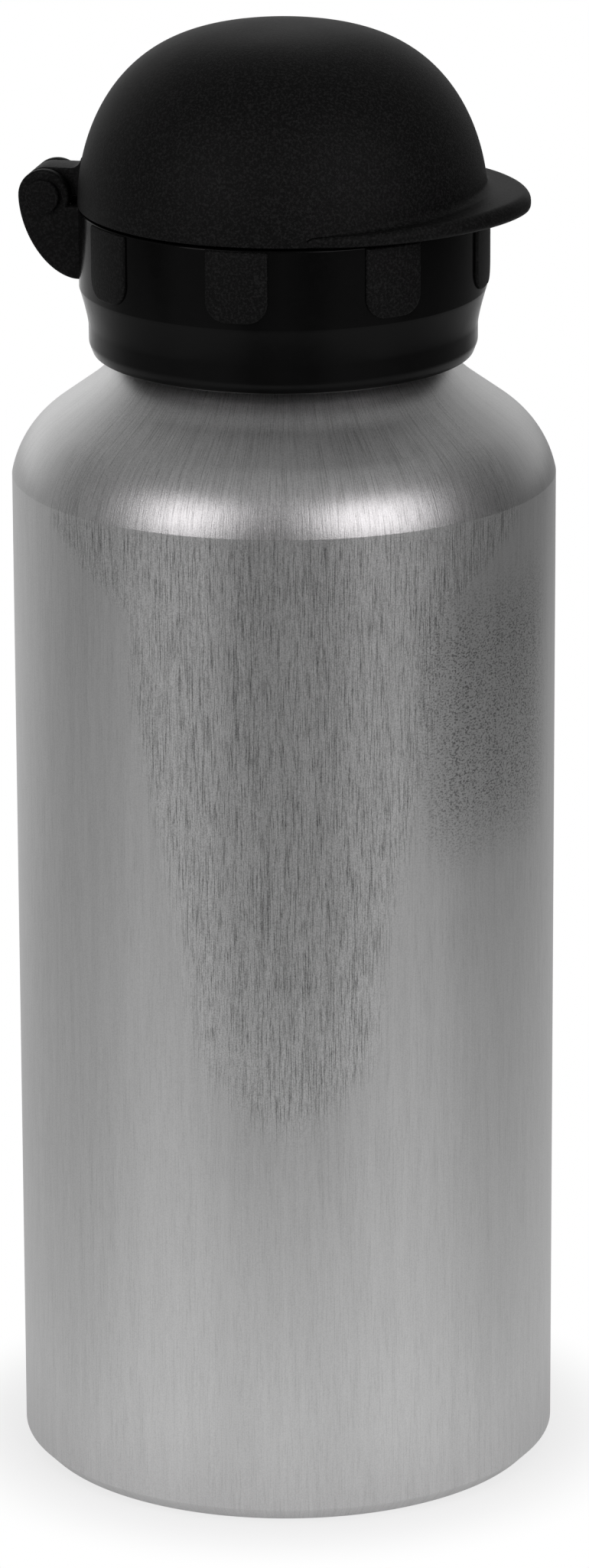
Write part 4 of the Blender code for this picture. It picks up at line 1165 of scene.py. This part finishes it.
# The floor's grey and white, and how brightly the metal mirrors them. Ramps are in millimetres
FLOOR_SIZE = 3.0            # in metres
FLOOR_GREY = 0.80
FLOOR_AHEAD = (118, 200, 0.71, 0.27)  # by the bottle, and in front of it
FLOOR_FALL = 300.0          # this far aside it is half as bright
FLOOR_RIGHT = (190, 380, 1.0, 0.60)
FLOOR_POOL = (118, 200, 0.12, 0.24)  # brighter fans on both sides of the way to the camera
FLOOR_BEHIND = (-330, -60, 0.20, 0.0)  # brighter behind, on the left
GLOW = (32, 48, 0.72, 1.0)  # share of plain white, less by the bottle, where its shadow falls
MIRRORED_GLOW = (33, 60, 0.35, 1.0)

# How brightly the metal mirrors the room, and the room's light on everything else
ROOM_DARK = 0.09
ROOM_CEILING = 0.18
ROOM_BEHIND = 0.90
ROOM_LEFT = 0.12
ROOM_LIGHT = 0.55


def softbox(name, aside, width):
    """A rectangular lamp that faces the bottle, turned aside from the camera."""
    lamp = bpy.data.lights.new(name, "AREA")
    lamp.shape = "RECTANGLE"
    lamp.size = width
    lamp.size_y = LAMP_HEIGHT
    lamp.energy = LAMP_RADIANCE * pi * width * LAMP_HEIGHT
    lamp.color = LAMP_TINT
    turn = CAMERA_TURN + aside
    level = cos(LAMP_UP)
    back = Vector((sin(turn) * level, -cos(turn) * level, sin(LAMP_UP)))
    facing = back.to_track_quat("Z", "Y").to_matrix().to_4x4()
    stand = bpy.data.objects.new(name, lamp)
    scene.collection.objects.link(stand)
    stand.matrix_world = Matrix.Translation(AIM + back * LAMP_AWAY) @ facing


def from_front(x, y):
    """How far a place or a way lies to the front, and how far to the right, in the photo's view."""
    ahead = x * sin(CAMERA_TURN) - y * cos(CAMERA_TURN)
    right = x * cos(CAMERA_TURN) + y * sin(CAMERA_TURN)
    return ahead, right


def lay_floor():
    """A pale floor, white in the picture, whose mirror image darkens in front and at the sides."""
    shape = bmesh.new()
    bmesh.ops.create_grid(shape, x_segments=1, y_segments=1, size=FLOOR_SIZE)
    floor = placed("floor", shape)
    made = Finish("pale_floor", {"Base Color": grey(FLOOR_GREY), "Roughness": 0.9,
                                 "Specular IOR Level": 0.0})
    place = made.place()
    ahead, right = from_front(*made.split(place)[:2])
    away = made.node("VectorMath", {"operation": "LENGTH"}, {0: place}, output=1)
    aside = right.maths("ABSOLUTE", right)
    slant = aside / (away + 1.0)
    pool = slant.ramp(0.25, 0.60) * slant.ramp(0.86, 1.0, 1.0, 0.1) * ahead.ramp(0, 60)
    fall = FLOOR_FALL / (aside + FLOOR_FALL)
    mirrored = (ahead.ramp(*FLOOR_AHEAD) * right.ramp(*FLOOR_RIGHT) * fall
                + ahead.ramp(*FLOOR_POOL) * pool
                + ahead.ramp(*FLOOR_BEHIND) * right.ramp(-60, 40, 1.0, 0.0))
    seen, glossy = made.rays()
    glow = made.node("Emission", None, {"Color": grey(1.0), "Strength": seen + glossy * mirrored})
    share = seen * away.ramp(*GLOW) + glossy * away.ramp(*MIRRORED_GLOW)
    lit = Wire(made, made.shader.outputs[0])
    surface = made.node("MixShader", None, {0: share, 1: lit, 2: glow})
    made.feed(made.tree.nodes["Material Output"], {"Surface": surface})
    floor.data.materials.append(made.material)


def light_room():
    """White low down behind the bottle, and darker above, in front and at the sides."""
    world = bpy.data.worlds.new("studio")
    scene.world = world
    world.use_nodes = True
    room = Shading(world.node_tree)
    room.tree.nodes.clear()
    x, y, z = room.split(room.node("TexCoord", output="Generated"))
    ahead, right = from_front(x, y)
    behind = ahead.ramp(-0.98, -0.35, ROOM_BEHIND, 0.0) * right.ramp(-0.1, 0.4, 1.0, 0.6)
    left = right.ramp(-0.8, -0.3, ROOM_LEFT, 0.0)
    mirrored = (ROOM_DARK + z.ramp(0.45, 0.85, 0.0, ROOM_CEILING)
                + (behind + left) * z.ramp(0.30, 0.80, 1.0, 0.0))
    seen, glossy = room.rays()
    level = seen + glossy * mirrored + (1.0 - seen - glossy) * ROOM_LIGHT
    surface = room.node("Background", None, {"Color": grey(1.0), "Strength": level})
    room.feed(room.tree.nodes.new("ShaderNodeOutputWorld"), {"Surface": surface})


softbox("softbox_left", LEFT_ASIDE, LEFT_WIDTH)
softbox("softbox_right", RIGHT_ASIDE, RIGHT_WIDTH)
lay_floor()
light_room()
scene.view_settings.view_transform = "Standard"
